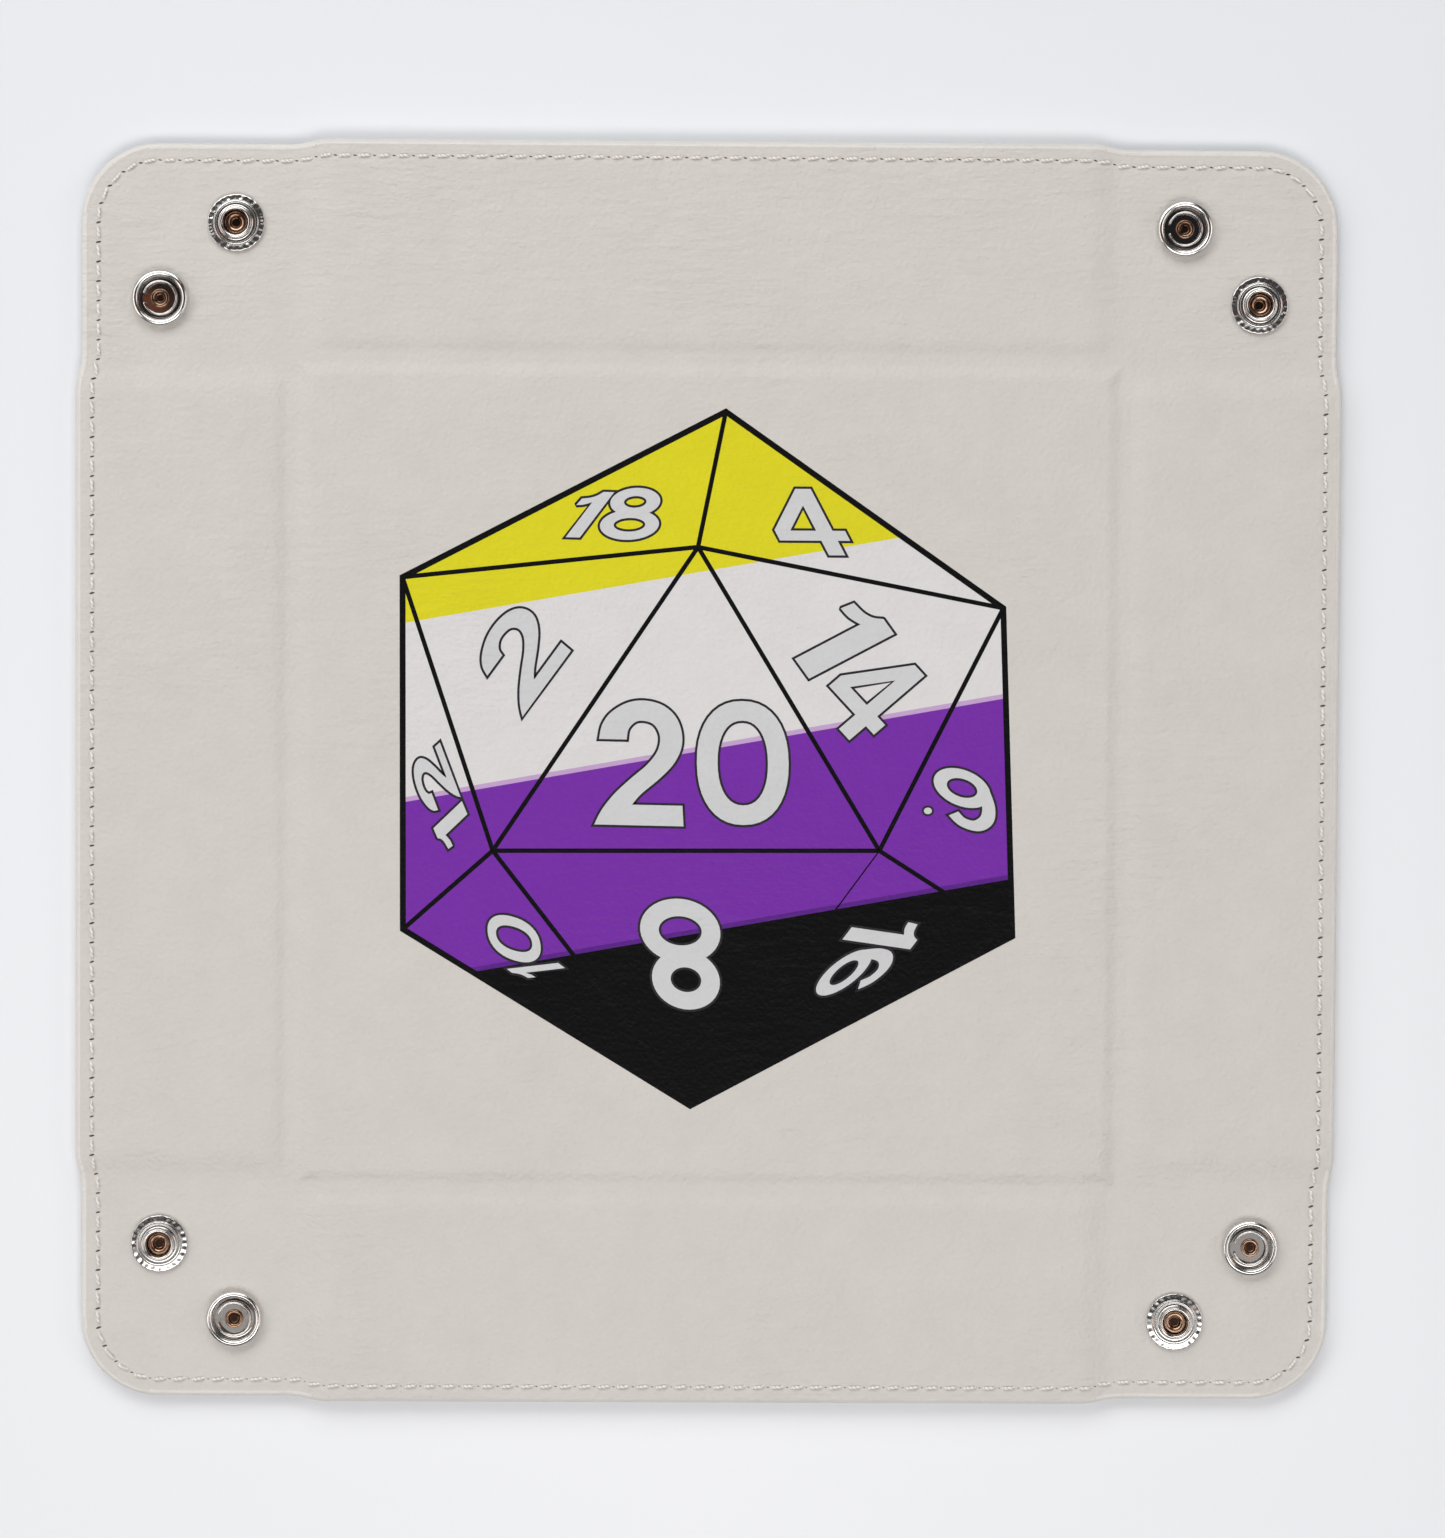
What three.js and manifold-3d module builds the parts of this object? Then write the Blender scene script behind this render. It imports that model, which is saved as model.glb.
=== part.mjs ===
// Folding dice tray: a flat square of leatherette over boards, with four wall flaps and soft corners.
// Each corner pinches together and is held by a ring-spring snap, which stands the walls up.
// Millimetres. +Z is up, +Y is north. The origin is at the middle of the face that the tray rests on.
import * as THREE from 'three';
import * as BufferGeometryUtils from 'three/addons/utils/BufferGeometryUtils.js';
import Module from 'manifold-3d';

const wasm = await Module();
wasm.setup();

// Outline and folds
const HALF_WIDTH = 133.5;       // middle of the tray to the outer edge of a boarded flap
const CORNER_HALF_WIDTH = 132.3; // the soft corners stop a little short of the boarded edge
const CORNER_RADIUS = 16.5;
const FOLD_LINE = 87.8;         // axis of each flap's fold
const WEB_LINE = 83.8;          // axis of the crease between a flap and its soft corner
const SNAPPED_FLAP_ANGLE = 68;  // degrees, walls up and corners snapped

// Layers
const SHEET = 0.9;              // one layer of leatherette
const BOARD = 2.0;
const MID = SHEET + BOARD / 2;  // height of every fold axis, between the two sheets
const TOP = 2 * MID;
const CORNER_TOP = MID + SHEET;
const CORNER_BOTTOM = MID - SHEET;

// Boards
const BASE_BOARD_HALF = 85.5;
const FLAP_BOARD_NEAR = 90.2;
const FLAP_BOARD_FAR = 132.3;
const FLAP_BOARD_HALF = 82.5;

// Corner creases, measured from the crossing of the two fold lines (u outwards along the flap, v outwards
// across it)
const CREASE_START = -3.556;    // u where the web-to-ear crease would meet the fold line
const CREASE_ANGLE = 15.36;     // degrees between that crease and the flap's side
const PINCH_HALF = 2.4;         // half the distance between the two ears' middle planes when snapped

// Clearances beside the fold axes
const FOLD_GAP = 0.75;
const WEB_GAP = 0.7;
const SIDE_WALL = FLAP_BOARD_HALF + 0.6;
const CREASE_GAP = 1.0;
const STRIP_GAP = 1.0;
const WEB_START = 8.0;          // v where the web becomes wide enough to be a panel
const EAR_START = 5.5;
const STRIP_START = 1.5;        // distance along the diagonal

// Snaps
const SNAP_U = 12.0;
const SNAP_V = 27.9;
const SHANK_HOLE = 1.5;

// Stitching
const STITCH_INSET = 3.6;
const STITCH_PITCH = 4.1;
const STITCH_LENGTH = 2.9;
const STITCH_COUNT = 38;

const leather = () => new THREE.MeshStandardMaterial({ color: 0xcfcac4, roughness: 0.6, metalness: 0 });
const board = () => new THREE.MeshStandardMaterial({ color: 0x8f8372, roughness: 0.95, metalness: 0 });
const nickel = () => new THREE.MeshStandardMaterial({ color: 0xc9c3ba, roughness: 0.2, metalness: 1 });
const springSteel = () => new THREE.MeshStandardMaterial({ color: 0xa9a7a3, roughness: 0.3, metalness: 1 });
const thread = () => new THREE.MeshStandardMaterial({ color: 0xd8d3cb, roughness: 0.8, metalness: 0 });

// A closed geometry as a solid that can be joined and cut.
function solid(geometry) {
  const bare = geometry.index ? geometry.toNonIndexed() : geometry.clone();
  bare.deleteAttribute('normal');
  bare.deleteAttribute('uv');
  const merged = BufferGeometryUtils.mergeVertices(bare, 1e-4);
  return new wasm.Manifold(new wasm.Mesh({
    numProp: 3,
    vertProperties: new Float32Array(merged.attributes.position.array),
    triVerts: new Uint32Array(merged.index.array),
  }));
}

function geometryOf(manifold) {
  const mesh = manifold.getMesh();
  const geometry = new THREE.BufferGeometry();
  geometry.setAttribute('position', new THREE.BufferAttribute(new Float32Array(mesh.vertProperties), 3));
  geometry.setIndex(new THREE.BufferAttribute(new Uint32Array(mesh.triVerts), 1));
  const faceted = geometry.toNonIndexed();
  faceted.computeVertexNormals();
  return faceted;
}

function box(x0, x1, y0, y1, z0, z1) {
  const geometry = new THREE.BoxGeometry(x1 - x0, y1 - y0, z1 - z0);
  geometry.translate((x0 + x1) / 2, (y0 + y1) / 2, (z0 + z1) / 2);
  return solid(geometry);
}

// A flat outline in X and Y, thickened from z0 to z1.
function plate(shape, z0, z1, curveSegments = 10) {
  const geometry = new THREE.ExtrudeGeometry(shape, { depth: z1 - z0, bevelEnabled: false, curveSegments });
  geometry.translate(0, 0, z0);
  return geometry;
}

// A section drawn in Y and Z, extruded along X.
function alongX(points, x0, x1) {
  const shape = new THREE.Shape(points.map(([y, z]) => new THREE.Vector2(y, z)));
  const geometry = new THREE.ExtrudeGeometry(shape, { depth: x1 - x0, bevelEnabled: false });
  geometry.applyMatrix4(new THREE.Matrix4().makeBasis(
    new THREE.Vector3(0, 1, 0),
    new THREE.Vector3(0, 0, 1),
    new THREE.Vector3(1, 0, 0),
  ));
  geometry.translate(x0, 0, 0);
  return geometry;
}

// A turned piece standing on Z, from a profile of [radius, height] pairs.
function turned(profile, segments) {
  const geometry = new THREE.LatheGeometry(profile.map(([r, z]) => new THREE.Vector2(r, z)), segments);
  geometry.rotateX(Math.PI / 2);
  return geometry;
}

function piece(parent, name, geometry, material) {
  const mesh = new THREE.Mesh(geometry, material);
  mesh.name = name;
  parent.add(mesh);
  return mesh;
}

// ---- Base: two square shells round the centre board, thin at the rim where the flaps fold ----
const base = new THREE.Group();

function baseShell(side) {
  const wall = BASE_BOARD_HALF + SHEET;
  const rim = FOLD_LINE - FOLD_GAP;
  const inner = side > 0 ? TOP - SHEET : SHEET;
  const z = (a, b) => [Math.min(a, b), Math.max(a, b)];
  const chamfer = 0.4;
  const outline = new THREE.Shape([
    new THREE.Vector2(-wall, 0),
    new THREE.Vector2(wall, 0),
    new THREE.Vector2(wall, MID - chamfer),
    new THREE.Vector2(wall - chamfer, MID),
    new THREE.Vector2(-wall + chamfer, MID),
    new THREE.Vector2(-wall, MID - chamfer),
  ]);
  const ridge = new THREE.ExtrudeGeometry(outline, { depth: 2 * wall, bevelEnabled: false });
  ridge.translate(0, 0, -wall);
  ridge.rotateX(Math.PI / 2);
  const crossRidge = ridge.clone().rotateZ(Math.PI / 2);
  let pillow = solid(ridge).intersect(solid(crossRidge)).translate([0, 0, MID]);
  if (side < 0) {
    pillow = pillow.mirror([0, 0, 1]).translate([0, 0, 2 * MID]);
  }
  const edge = box(-rim, rim, -rim, rim, ...z(MID, MID + side * SHEET));
  const pocket = box(
    -BASE_BOARD_HALF, BASE_BOARD_HALF, -BASE_BOARD_HALF, BASE_BOARD_HALF, ...z(MID - side, inner),
  );
  return geometryOf(pillow.add(edge).subtract(pocket).trimByPlane([0, 0, side], side > 0 ? MID : -MID));
}

piece(base, 'base_printed_cover', baseShell(1), leather());
piece(base, 'base_under_cover', baseShell(-1), leather());
piece(
  base, 'base_board',
  new THREE.BoxGeometry(2 * BASE_BOARD_HALF, 2 * BASE_BOARD_HALF, BOARD).translate(0, 0, MID),
  board(),
);

// ---- Flaps: built as the north flap and turned to the other three sides ----
function flapTopCover() {
  const inner = FOLD_LINE + FOLD_GAP;
  const wall = FLAP_BOARD_NEAR - SHEET;
  const section = [
    [inner, MID],
    [FLAP_BOARD_FAR, MID],
    [FLAP_BOARD_FAR, 0.35],
    [HALF_WIDTH - 0.3, 0.35],
    [HALF_WIDTH, 0.8],
    [HALF_WIDTH, TOP - 0.6],
    [HALF_WIDTH - 0.6, TOP],
    [wall + 0.5, TOP],
    [wall, TOP - 0.5],
    [wall, CORNER_TOP],
    [inner, CORNER_TOP],
  ];
  const pocket = box(
    -FLAP_BOARD_HALF, FLAP_BOARD_HALF, FLAP_BOARD_NEAR, FLAP_BOARD_FAR, MID - 1, TOP - SHEET,
  );
  return geometryOf(solid(alongX(section, -SIDE_WALL, SIDE_WALL)).subtract(pocket));
}

function flapUnderCover() {
  const inner = FOLD_LINE + FOLD_GAP;
  const wall = FLAP_BOARD_NEAR - SHEET;
  const section = [
    [inner, MID],
    [inner, CORNER_BOTTOM],
    [wall, CORNER_BOTTOM],
    [wall, 0.5],
    [wall + 0.5, 0],
    [FLAP_BOARD_FAR, 0],
    [FLAP_BOARD_FAR, MID],
  ];
  const pocket = box(
    -FLAP_BOARD_HALF, FLAP_BOARD_HALF, FLAP_BOARD_NEAR, HALF_WIDTH, SHEET, MID + 1,
  );
  return geometryOf(solid(alongX(section, -SIDE_WALL, SIDE_WALL)).subtract(pocket));
}

// One seam: a thread that rises over each stitch and dips between them.
function seam() {
  const start = -STITCH_COUNT * STITCH_PITCH / 2;
  const low = 0.08;
  const high = 0.35;
  const outline = [new THREE.Vector2(start, 0), new THREE.Vector2(-start, 0)];
  for (let i = STITCH_COUNT - 1; i >= 0; i--) {
    const x0 = start + i * STITCH_PITCH + (STITCH_PITCH - STITCH_LENGTH) / 2;
    outline.push(new THREE.Vector2(x0 + STITCH_LENGTH, low));
    outline.push(new THREE.Vector2(x0 + STITCH_LENGTH - 0.4, high));
    outline.push(new THREE.Vector2(x0 + 0.4, high));
    outline.push(new THREE.Vector2(x0, low));
  }
  const width = 0.7;
  const geometry = new THREE.ExtrudeGeometry(new THREE.Shape(outline), { depth: width, bevelEnabled: false });
  geometry.rotateX(Math.PI / 2);
  geometry.translate(0, HALF_WIDTH - STITCH_INSET + width / 2, TOP);
  return geometry;
}

function makeFlap(name, turn) {
  const flap = new THREE.Group();
  flap.rotation.z = turn;
  piece(flap, `${name}_flap_top_cover`, flapTopCover(), leather());
  piece(flap, `${name}_flap_under_cover`, flapUnderCover(), leather());
  piece(flap, `${name}_flap_stitching`, seam(), thread());
  piece(
    flap, `${name}_flap_board`,
    new THREE.BoxGeometry(2 * FLAP_BOARD_HALF, FLAP_BOARD_FAR - FLAP_BOARD_NEAR, BOARD)
      .translate(0, (FLAP_BOARD_NEAR + FLAP_BOARD_FAR) / 2, MID),
    board(),
  );
  return flap;
}

// ---- Corners: built as the north-west corner's north half, in u (west) and v (north) ----
const REACH = CORNER_HALF_WIDTH - FOLD_LINE;
const ARC_CENTRE = REACH - CORNER_RADIUS;
const CREASE_SLOPE = Math.tan(THREE.MathUtils.degToRad(CREASE_ANGLE));
const CREASE_OFFSET = CREASE_GAP / Math.cos(THREE.MathUtils.degToRad(CREASE_ANGLE));
const creaseU = (v) => CREASE_START + v * CREASE_SLOPE;

// Turns outline points in u and v into a shape in X and Y. The socket half is the stud half mirrored in
// the corner's diagonal, which swaps u and v.
function cornerShape(points, mirrored) {
  const placed = points.map(([u, v]) => {
    const [across, along] = mirrored ? [v, u] : [u, v];
    return new THREE.Vector2(-FOLD_LINE - across, FOLD_LINE + along);
  });
  if (THREE.ShapeUtils.area(placed) < 0) {
    placed.reverse();
  }
  return new THREE.Shape(placed);
}

// Points on the rounded corner, from the flap's side (0) to where the ear stops short of the diagonal.
function cornerArc(from, to, steps) {
  const points = [];
  for (let i = 0; i <= steps; i++) {
    const angle = from + (to - from) * i / steps;
    points.push([ARC_CENTRE + CORNER_RADIUS * Math.sin(angle), ARC_CENTRE + CORNER_RADIUS * Math.cos(angle)]);
  }
  return points;
}

// The angle on the rounded corner at which it is a given distance short of the diagonal.
const arcAngleAt = (distance) => Math.PI / 4 - Math.asin(distance / CORNER_RADIUS);

function webOutline() {
  const sideU = -(FOLD_LINE - WEB_LINE) + WEB_GAP;
  return [
    [sideU, WEB_START],
    [creaseU(WEB_START) - CREASE_OFFSET, WEB_START],
    [creaseU(REACH) - CREASE_OFFSET, REACH],
    [sideU, REACH],
  ];
}

function earOutline() {
  const inset = (PINCH_HALF + STRIP_GAP) * Math.SQRT2;
  return [
    [creaseU(EAR_START) + CREASE_OFFSET, EAR_START],
    [EAR_START - inset, EAR_START],
    ...cornerArc(0, arcAngleAt(PINCH_HALF + STRIP_GAP), 6).reverse(),
    [creaseU(REACH) + CREASE_OFFSET, REACH],
  ];
}

function stripOutline() {
  const half = PINCH_HALF - STRIP_GAP;
  const near = (side) => [
    (STRIP_START - side * half) / Math.SQRT2,
    (STRIP_START + side * half) / Math.SQRT2,
  ];
  const limit = arcAngleAt(half);
  return [near(-1), near(1), ...cornerArc(limit, Math.PI / 2 - limit, 2)];
}

function cornerPlate(outline, mirrored, withHole) {
  const shape = cornerShape(outline, mirrored);
  if (withHole) {
    const hole = new THREE.Path();
    const [u, v] = mirrored ? [SNAP_V, SNAP_U] : [SNAP_U, SNAP_V];
    hole.absarc(-FOLD_LINE - u, FOLD_LINE + v, SHANK_HOLE, 0, 2 * Math.PI, true);
    shape.holes.push(hole);
  }
  return plate(shape, CORNER_BOTTOM, CORNER_TOP, 8);
}

// ---- Snaps: heights are from the top of the leatherette that they are riveted to ----

// Male half. The flange's rim is knurled, and the hollow post in the middle has a lip at its mouth.
function studGeometry() {
  const geometry = turned([
    [SHANK_HOLE, 0.3], [SHANK_HOLE, 0], [6.0, 0], [6.05, 0.4], [5.6, 0.85], [4.7, 0.8], [4.2, 0.85],
    [3.95, 1.15], [3.3, 1.25], [3.05, 1.4], [3.05, 2.0], [3.3, 2.25], [3.2, 2.55], [2.9, 2.6],
    [2.65, 2.3], [2.6, 0.3], [SHANK_HOLE, 0.3],
  ], 40);
  const position = geometry.attributes.position;
  const knurlInner = 5.0;
  for (let i = 0; i < position.count; i++) {
    const x = position.getX(i);
    const y = position.getY(i);
    const radius = Math.hypot(x, y);
    if (radius > knurlInner && position.getZ(i) > 0.01) {
      const step = Math.round((Math.atan2(y, x) / (2 * Math.PI)) * 40);
      if (((step % 2) + 2) % 2 === 1) {
        const shrink = (radius - 0.22) / radius;
        position.setXY(i, x * shrink, y * shrink);
      }
    }
  }
  return geometry;
}

// Female half. A rolled bead round the mouth, a ledge for the spring, and a well for the stud's post.
function socketGeometry() {
  return turned([
    [SHANK_HOLE, 0.3], [SHANK_HOLE, 0], [5.75, 0], [5.9, 1.3], [5.9, 1.6], [5.6, 1.9], [5.2, 1.95],
    [4.9, 1.75], [4.85, 0.95], [3.65, 0.95], [3.65, 0.3], [SHANK_HOLE, 0.3],
  ], 36);
}

// Split wire ring that grips the stud's post. It lies in the socket with its gap towards the west.
function springGeometry() {
  const ringRadius = 3.45;
  const wire = 0.25;
  const halfGap = 0.35;
  class Ring extends THREE.Curve {
    getPoint(t, target = new THREE.Vector3()) {
      const angle = Math.PI + halfGap + t * (2 * Math.PI - 2 * halfGap);
      return target.set(ringRadius * Math.cos(angle), ringRadius * Math.sin(angle), 0);
    }
  }
  const section = new THREE.Shape();
  section.absarc(0, 0, wire, 0, 2 * Math.PI, false);
  const geometry = new THREE.ExtrudeGeometry(section, { steps: 22, extrudePath: new Ring(), curveSegments: 3 });
  return geometry.translate(0, 0, 1.35);
}

// Back cap. Its hollow shank comes up through the leatherette and is rolled over as an eyelet.
function capGeometry() {
  const under = -2 * SHEET;
  return turned([
    [0, under - 1.0], [4.4, under - 1.0], [5.5, under - 0.8], [5.9, under - 0.35], [5.85, under],
    [1.4, under], [1.4, 0.33], [1.95, 0.36], [1.95, 0.6], [1.7, 0.75], [1.4, 0.65], [1.1, 0.3],
    [1.1, under - 0.3], [0, under - 0.3],
  ], 28);
}

// Stud half on one flap's ear, socket half on the neighbouring flap's ear, and the strip between them.
function makeCorner(name, turn) {
  const corner = new THREE.Group();
  corner.rotation.z = turn;
  piece(corner, `${name}_corner_stud_web`, cornerPlate(webOutline(), false, false), leather());
  piece(corner, `${name}_corner_stud_ear`, cornerPlate(earOutline(), false, true), leather());
  piece(corner, `${name}_corner_socket_web`, cornerPlate(webOutline(), true, false), leather());
  piece(corner, `${name}_corner_socket_ear`, cornerPlate(earOutline(), true, true), leather());
  piece(corner, `${name}_corner_pinch_strip`, cornerPlate(stripOutline(), false, false), leather());

  const studSeat = new THREE.Group();
  studSeat.position.set(-FOLD_LINE - SNAP_U, FOLD_LINE + SNAP_V, CORNER_TOP);
  piece(studSeat, `${name}_snap_stud`, studGeometry(), nickel());
  piece(studSeat, `${name}_snap_stud_cap`, capGeometry(), nickel());
  corner.add(studSeat);

  const socketSeat = new THREE.Group();
  socketSeat.position.set(-FOLD_LINE - SNAP_V, FOLD_LINE + SNAP_U, CORNER_TOP);
  piece(socketSeat, `${name}_snap_socket`, socketGeometry(), nickel());
  piece(socketSeat, `${name}_snap_socket_cap`, capGeometry(), nickel());
  const springSeat = new THREE.Group();
  springSeat.rotation.z = -turn;
  piece(springSeat, `${name}_snap_socket_spring`, springGeometry(), springSteel());
  socketSeat.add(springSeat);
  corner.add(socketSeat);
  return corner;
}

// ---- Assembly ----
const tray = new THREE.Group();
tray.name = 'folding_dice_tray';
tray.userData.snappedFlapAngle = SNAPPED_FLAP_ANGLE;
tray.add(base);
['north', 'east', 'south', 'west'].forEach((side, i) => {
  tray.add(makeFlap(side, -i * Math.PI / 2));
});
['north_west', 'north_east', 'south_east', 'south_west'].forEach((corner, i) => {
  tray.add(makeCorner(corner, -i * Math.PI / 2));
});

export default tray;
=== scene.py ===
# Folding dice tray: a flat square of leatherette over boards, whose soft corners pinch together and snap.
# Lengths in the sections are millimetres, turned to metres where a mesh is made.
import math
import random

import bmesh
import bpy
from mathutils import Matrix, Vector, geometry


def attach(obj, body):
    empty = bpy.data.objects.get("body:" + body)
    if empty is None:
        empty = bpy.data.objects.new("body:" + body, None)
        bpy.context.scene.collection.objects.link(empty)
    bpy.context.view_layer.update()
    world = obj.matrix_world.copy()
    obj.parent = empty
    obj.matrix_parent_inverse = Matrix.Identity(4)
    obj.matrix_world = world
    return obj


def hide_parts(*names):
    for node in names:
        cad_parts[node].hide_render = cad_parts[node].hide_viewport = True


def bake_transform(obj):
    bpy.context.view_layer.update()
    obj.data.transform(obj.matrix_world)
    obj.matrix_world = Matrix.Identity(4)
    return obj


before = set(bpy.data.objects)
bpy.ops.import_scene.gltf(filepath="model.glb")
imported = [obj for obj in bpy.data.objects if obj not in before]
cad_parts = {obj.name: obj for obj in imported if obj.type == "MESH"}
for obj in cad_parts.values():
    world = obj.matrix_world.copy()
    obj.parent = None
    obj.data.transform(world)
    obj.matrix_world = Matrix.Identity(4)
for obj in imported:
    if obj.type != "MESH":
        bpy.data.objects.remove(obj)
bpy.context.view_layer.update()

# ---- Leatherette ------------------------------------------------------------------------------------
# Polyurethane skin on a knitted backing, rolled through an embossing calender while it is warm.
# It gives a soft satin off-white with fine pebbles, shallow creases and a few scuffs from handling.
GRAIN_PEBBLE_MM = 0.9          # drawn a little coarse, so that it shows at arm's length
PORE_MM = 0.35
GRAIN_WANDER_MM = 2.4
WRINKLE_MM = 2.2
GRAIN_CREASE_MM = 7.0
FAINT_STAIN_MM = 11.0
HANDLING_MARK_MM = 60.0


def linear(hex_colour):
    channels = [int(hex_colour[i:i + 2], 16) / 255 for i in (1, 3, 5)]
    return [c / 12.92 if c <= 0.04045 else ((c + 0.055) / 1.055) ** 2.4 for c in channels] + [1.0]


def add(tree, kind, links=(), **settings):
    """Adds a node to a material. settings are its attributes or inputs, links its incoming sockets."""
    made = tree.nodes.new(kind)
    for name, value in settings.items():
        if name in made.inputs:
            made.inputs[name].default_value = value
        else:
            setattr(made, name, value)
    for target, source in links:
        tree.links.new(source, made.inputs[target])
    return made


def start_material(name):
    material = bpy.data.materials.new(name)
    material.use_nodes = True
    tree = material.node_tree
    tree.nodes.clear()
    return material, tree


def finish_material(tree, shader):
    add(tree, "ShaderNodeOutputMaterial", [("Surface", shader.outputs["BSDF"])])


def place_piece(name, mesh):
    piece = bpy.data.objects.new(name, mesh)
    bpy.context.scene.collection.objects.link(piece)
    return piece


def lay_grain(mesh):
    """Lets the leatherette's grain run straight across every piece, in metres over the flat tray."""
    uv = mesh.uv_layers.new(name="flat")
    for loop in mesh.loops:
        v = mesh.vertices[loop.vertex_index].co
        uv.data[loop.index].uv = (v.x, v.y)


def weld(mesh):
    """Joins points that coincide and turns every face outwards."""
    tidy = bmesh.new()
    tidy.from_mesh(mesh)
    bmesh.ops.remove_doubles(tidy, verts=tidy.verts, dist=1e-7)
    bmesh.ops.recalc_face_normals(tidy, faces=tidy.faces)
    tidy.to_mesh(mesh)
    tidy.free()


def leatherette(name, body_colour, worn_colour, roughness=0.52, shine=0.4):
    """Embossed polyurethane skin. Ink printed on it keeps the same emboss under its own colour."""
    material, tree = start_material(name)
    flat = add(tree, "ShaderNodeUVMap", uv_map="flat").outputs["UV"]
    drift = add(tree, "ShaderNodeTexNoise", [("Vector", flat)],
                Scale=1000 / HANDLING_MARK_MM, Detail=4.0, Roughness=0.6)
    blotch = add(tree, "ShaderNodeTexNoise", [("Vector", flat)], Scale=1000 / FAINT_STAIN_MM, Detail=5.0,
                 Roughness=0.7)
    bent = add(tree, "ShaderNodeTexNoise", [("Vector", flat)], Scale=1000 / GRAIN_WANDER_MM, Detail=2.0)
    wander = add(tree, "ShaderNodeVectorMath", [(0, bent.outputs["Color"])], operation="MULTIPLY")
    wander.inputs[1].default_value = (0.0007, 0.0007, 0.0)
    strayed = add(tree, "ShaderNodeVectorMath", [(0, flat), (1, wander.outputs[0])], operation="ADD")
    pebble = add(tree, "ShaderNodeTexVoronoi", [("Vector", strayed.outputs[0])],
                 feature="SMOOTH_F1", Scale=1000 / GRAIN_PEBBLE_MM, Smoothness=0.6)
    crease = add(tree, "ShaderNodeTexVoronoi", [("Vector", strayed.outputs[0])],
                 feature="DISTANCE_TO_EDGE", Scale=1000 / GRAIN_CREASE_MM)
    crease_line = add(tree, "ShaderNodeMapRange", [("Value", crease.outputs["Distance"])])
    crease_line.inputs["From Max"].default_value = 0.09
    pores = add(tree, "ShaderNodeTexNoise", [("Vector", flat)], Scale=1000 / PORE_MM, Detail=3.0,
                Roughness=0.6)

    tone = add(tree, "ShaderNodeMix", [("Factor", drift.outputs["Fac"])], data_type="RGBA")
    tone.inputs["A"].default_value = linear(body_colour)
    tone.inputs["B"].default_value = linear(worn_colour)
    dirt = add(tree, "ShaderNodeMapRange", [("Value", blotch.outputs["Fac"])])
    dirt.inputs["From Min"].default_value = 0.35
    dirt.inputs["From Max"].default_value = 0.8
    dirt.inputs["To Min"].default_value = 0.0
    dirt.inputs["To Max"].default_value = 0.10
    dirtied = add(tree, "ShaderNodeMix", [("Factor", dirt.outputs["Result"]), ("A", tone.outputs["Result"])],
                  data_type="RGBA", blend_type="MULTIPLY")
    dirtied.inputs["B"].default_value = linear("#B9B2A8")

    gloss = add(tree, "ShaderNodeMapRange", [("Value", pebble.outputs["Distance"])])
    gloss.inputs["To Min"].default_value = roughness - 0.07
    gloss.inputs["To Max"].default_value = roughness + 0.12

    shader = add(tree, "ShaderNodeBsdfPrincipled",
                 [("Base Color", dirtied.outputs["Result"]), ("Roughness", gloss.outputs["Result"])],
                 IOR=1.49)
    shader.inputs["Specular IOR Level"].default_value = shine
    # Hand creases run slantwise where the skin was rolled up, and are strongest in patches.
    slant = add(tree, "ShaderNodeMapping", [("Vector", strayed.outputs[0])])
    slant.inputs["Rotation"].default_value = (0.0, 0.0, math.radians(-24))
    slant.inputs["Scale"].default_value = (0.22, 1.0, 1.0)
    wrinkle = add(tree, "ShaderNodeTexNoise", [("Vector", slant.outputs[0])], Scale=1000 / WRINKLE_MM,
                  Detail=3.0, Roughness=0.6)
    patch = add(tree, "ShaderNodeMapRange", [("Value", drift.outputs["Fac"])])
    patch.inputs["From Min"].default_value = 0.45
    patch.inputs["From Max"].default_value = 0.68
    # The north flap is bent back and forth the most, so its skin is the most wrinkled.
    where = add(tree, "ShaderNodeSeparateXYZ", [("Vector", flat)])
    northern = add(tree, "ShaderNodeMapRange", [("Value", where.outputs["Y"])])
    northern.inputs["From Min"].default_value = 0.088
    northern.inputs["From Max"].default_value = 0.105
    northern.inputs["To Max"].default_value = 0.55
    mask = add(tree, "ShaderNodeMath", [(0, patch.outputs["Result"]), (1, northern.outputs["Result"])],
               operation="ADD", use_clamp=True)
    wrinkled = add(tree, "ShaderNodeMath", [(0, wrinkle.outputs["Fac"]), (1, mask.outputs[0])],
                   operation="MULTIPLY")

    fine = add(tree, "ShaderNodeBump", [("Height", pores.outputs["Fac"])], Strength=0.4, Distance=0.00004)
    small = add(tree, "ShaderNodeBump",
                [("Height", pebble.outputs["Distance"]), ("Normal", fine.outputs["Normal"])],
                Strength=0.95, Distance=0.00013, invert=True)
    broad = add(tree, "ShaderNodeBump",
                [("Height", crease_line.outputs["Result"]), ("Normal", small.outputs["Normal"])],
                Strength=0.3, Distance=0.00008)
    hand = add(tree, "ShaderNodeBump",
               [("Height", wrinkled.outputs[0]), ("Normal", broad.outputs["Normal"])],
               Strength=0.8, Distance=0.0007)
    swell = add(tree, "ShaderNodeBump",
                [("Height", drift.outputs["Fac"]), ("Normal", hand.outputs["Normal"])],
                Strength=0.5, Distance=0.0012)
    tree.links.new(swell.outputs["Normal"], shader.inputs["Normal"])
    finish_material(tree, shader)
    return material


top_leatherette = leatherette("embossed_offwhite_leatherette", "#D2CDC7", "#CDC8C2")
under_leatherette = leatherette("embossed_offwhite_leatherette_underside", "#CFCAC4", "#CAC4BD")
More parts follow.
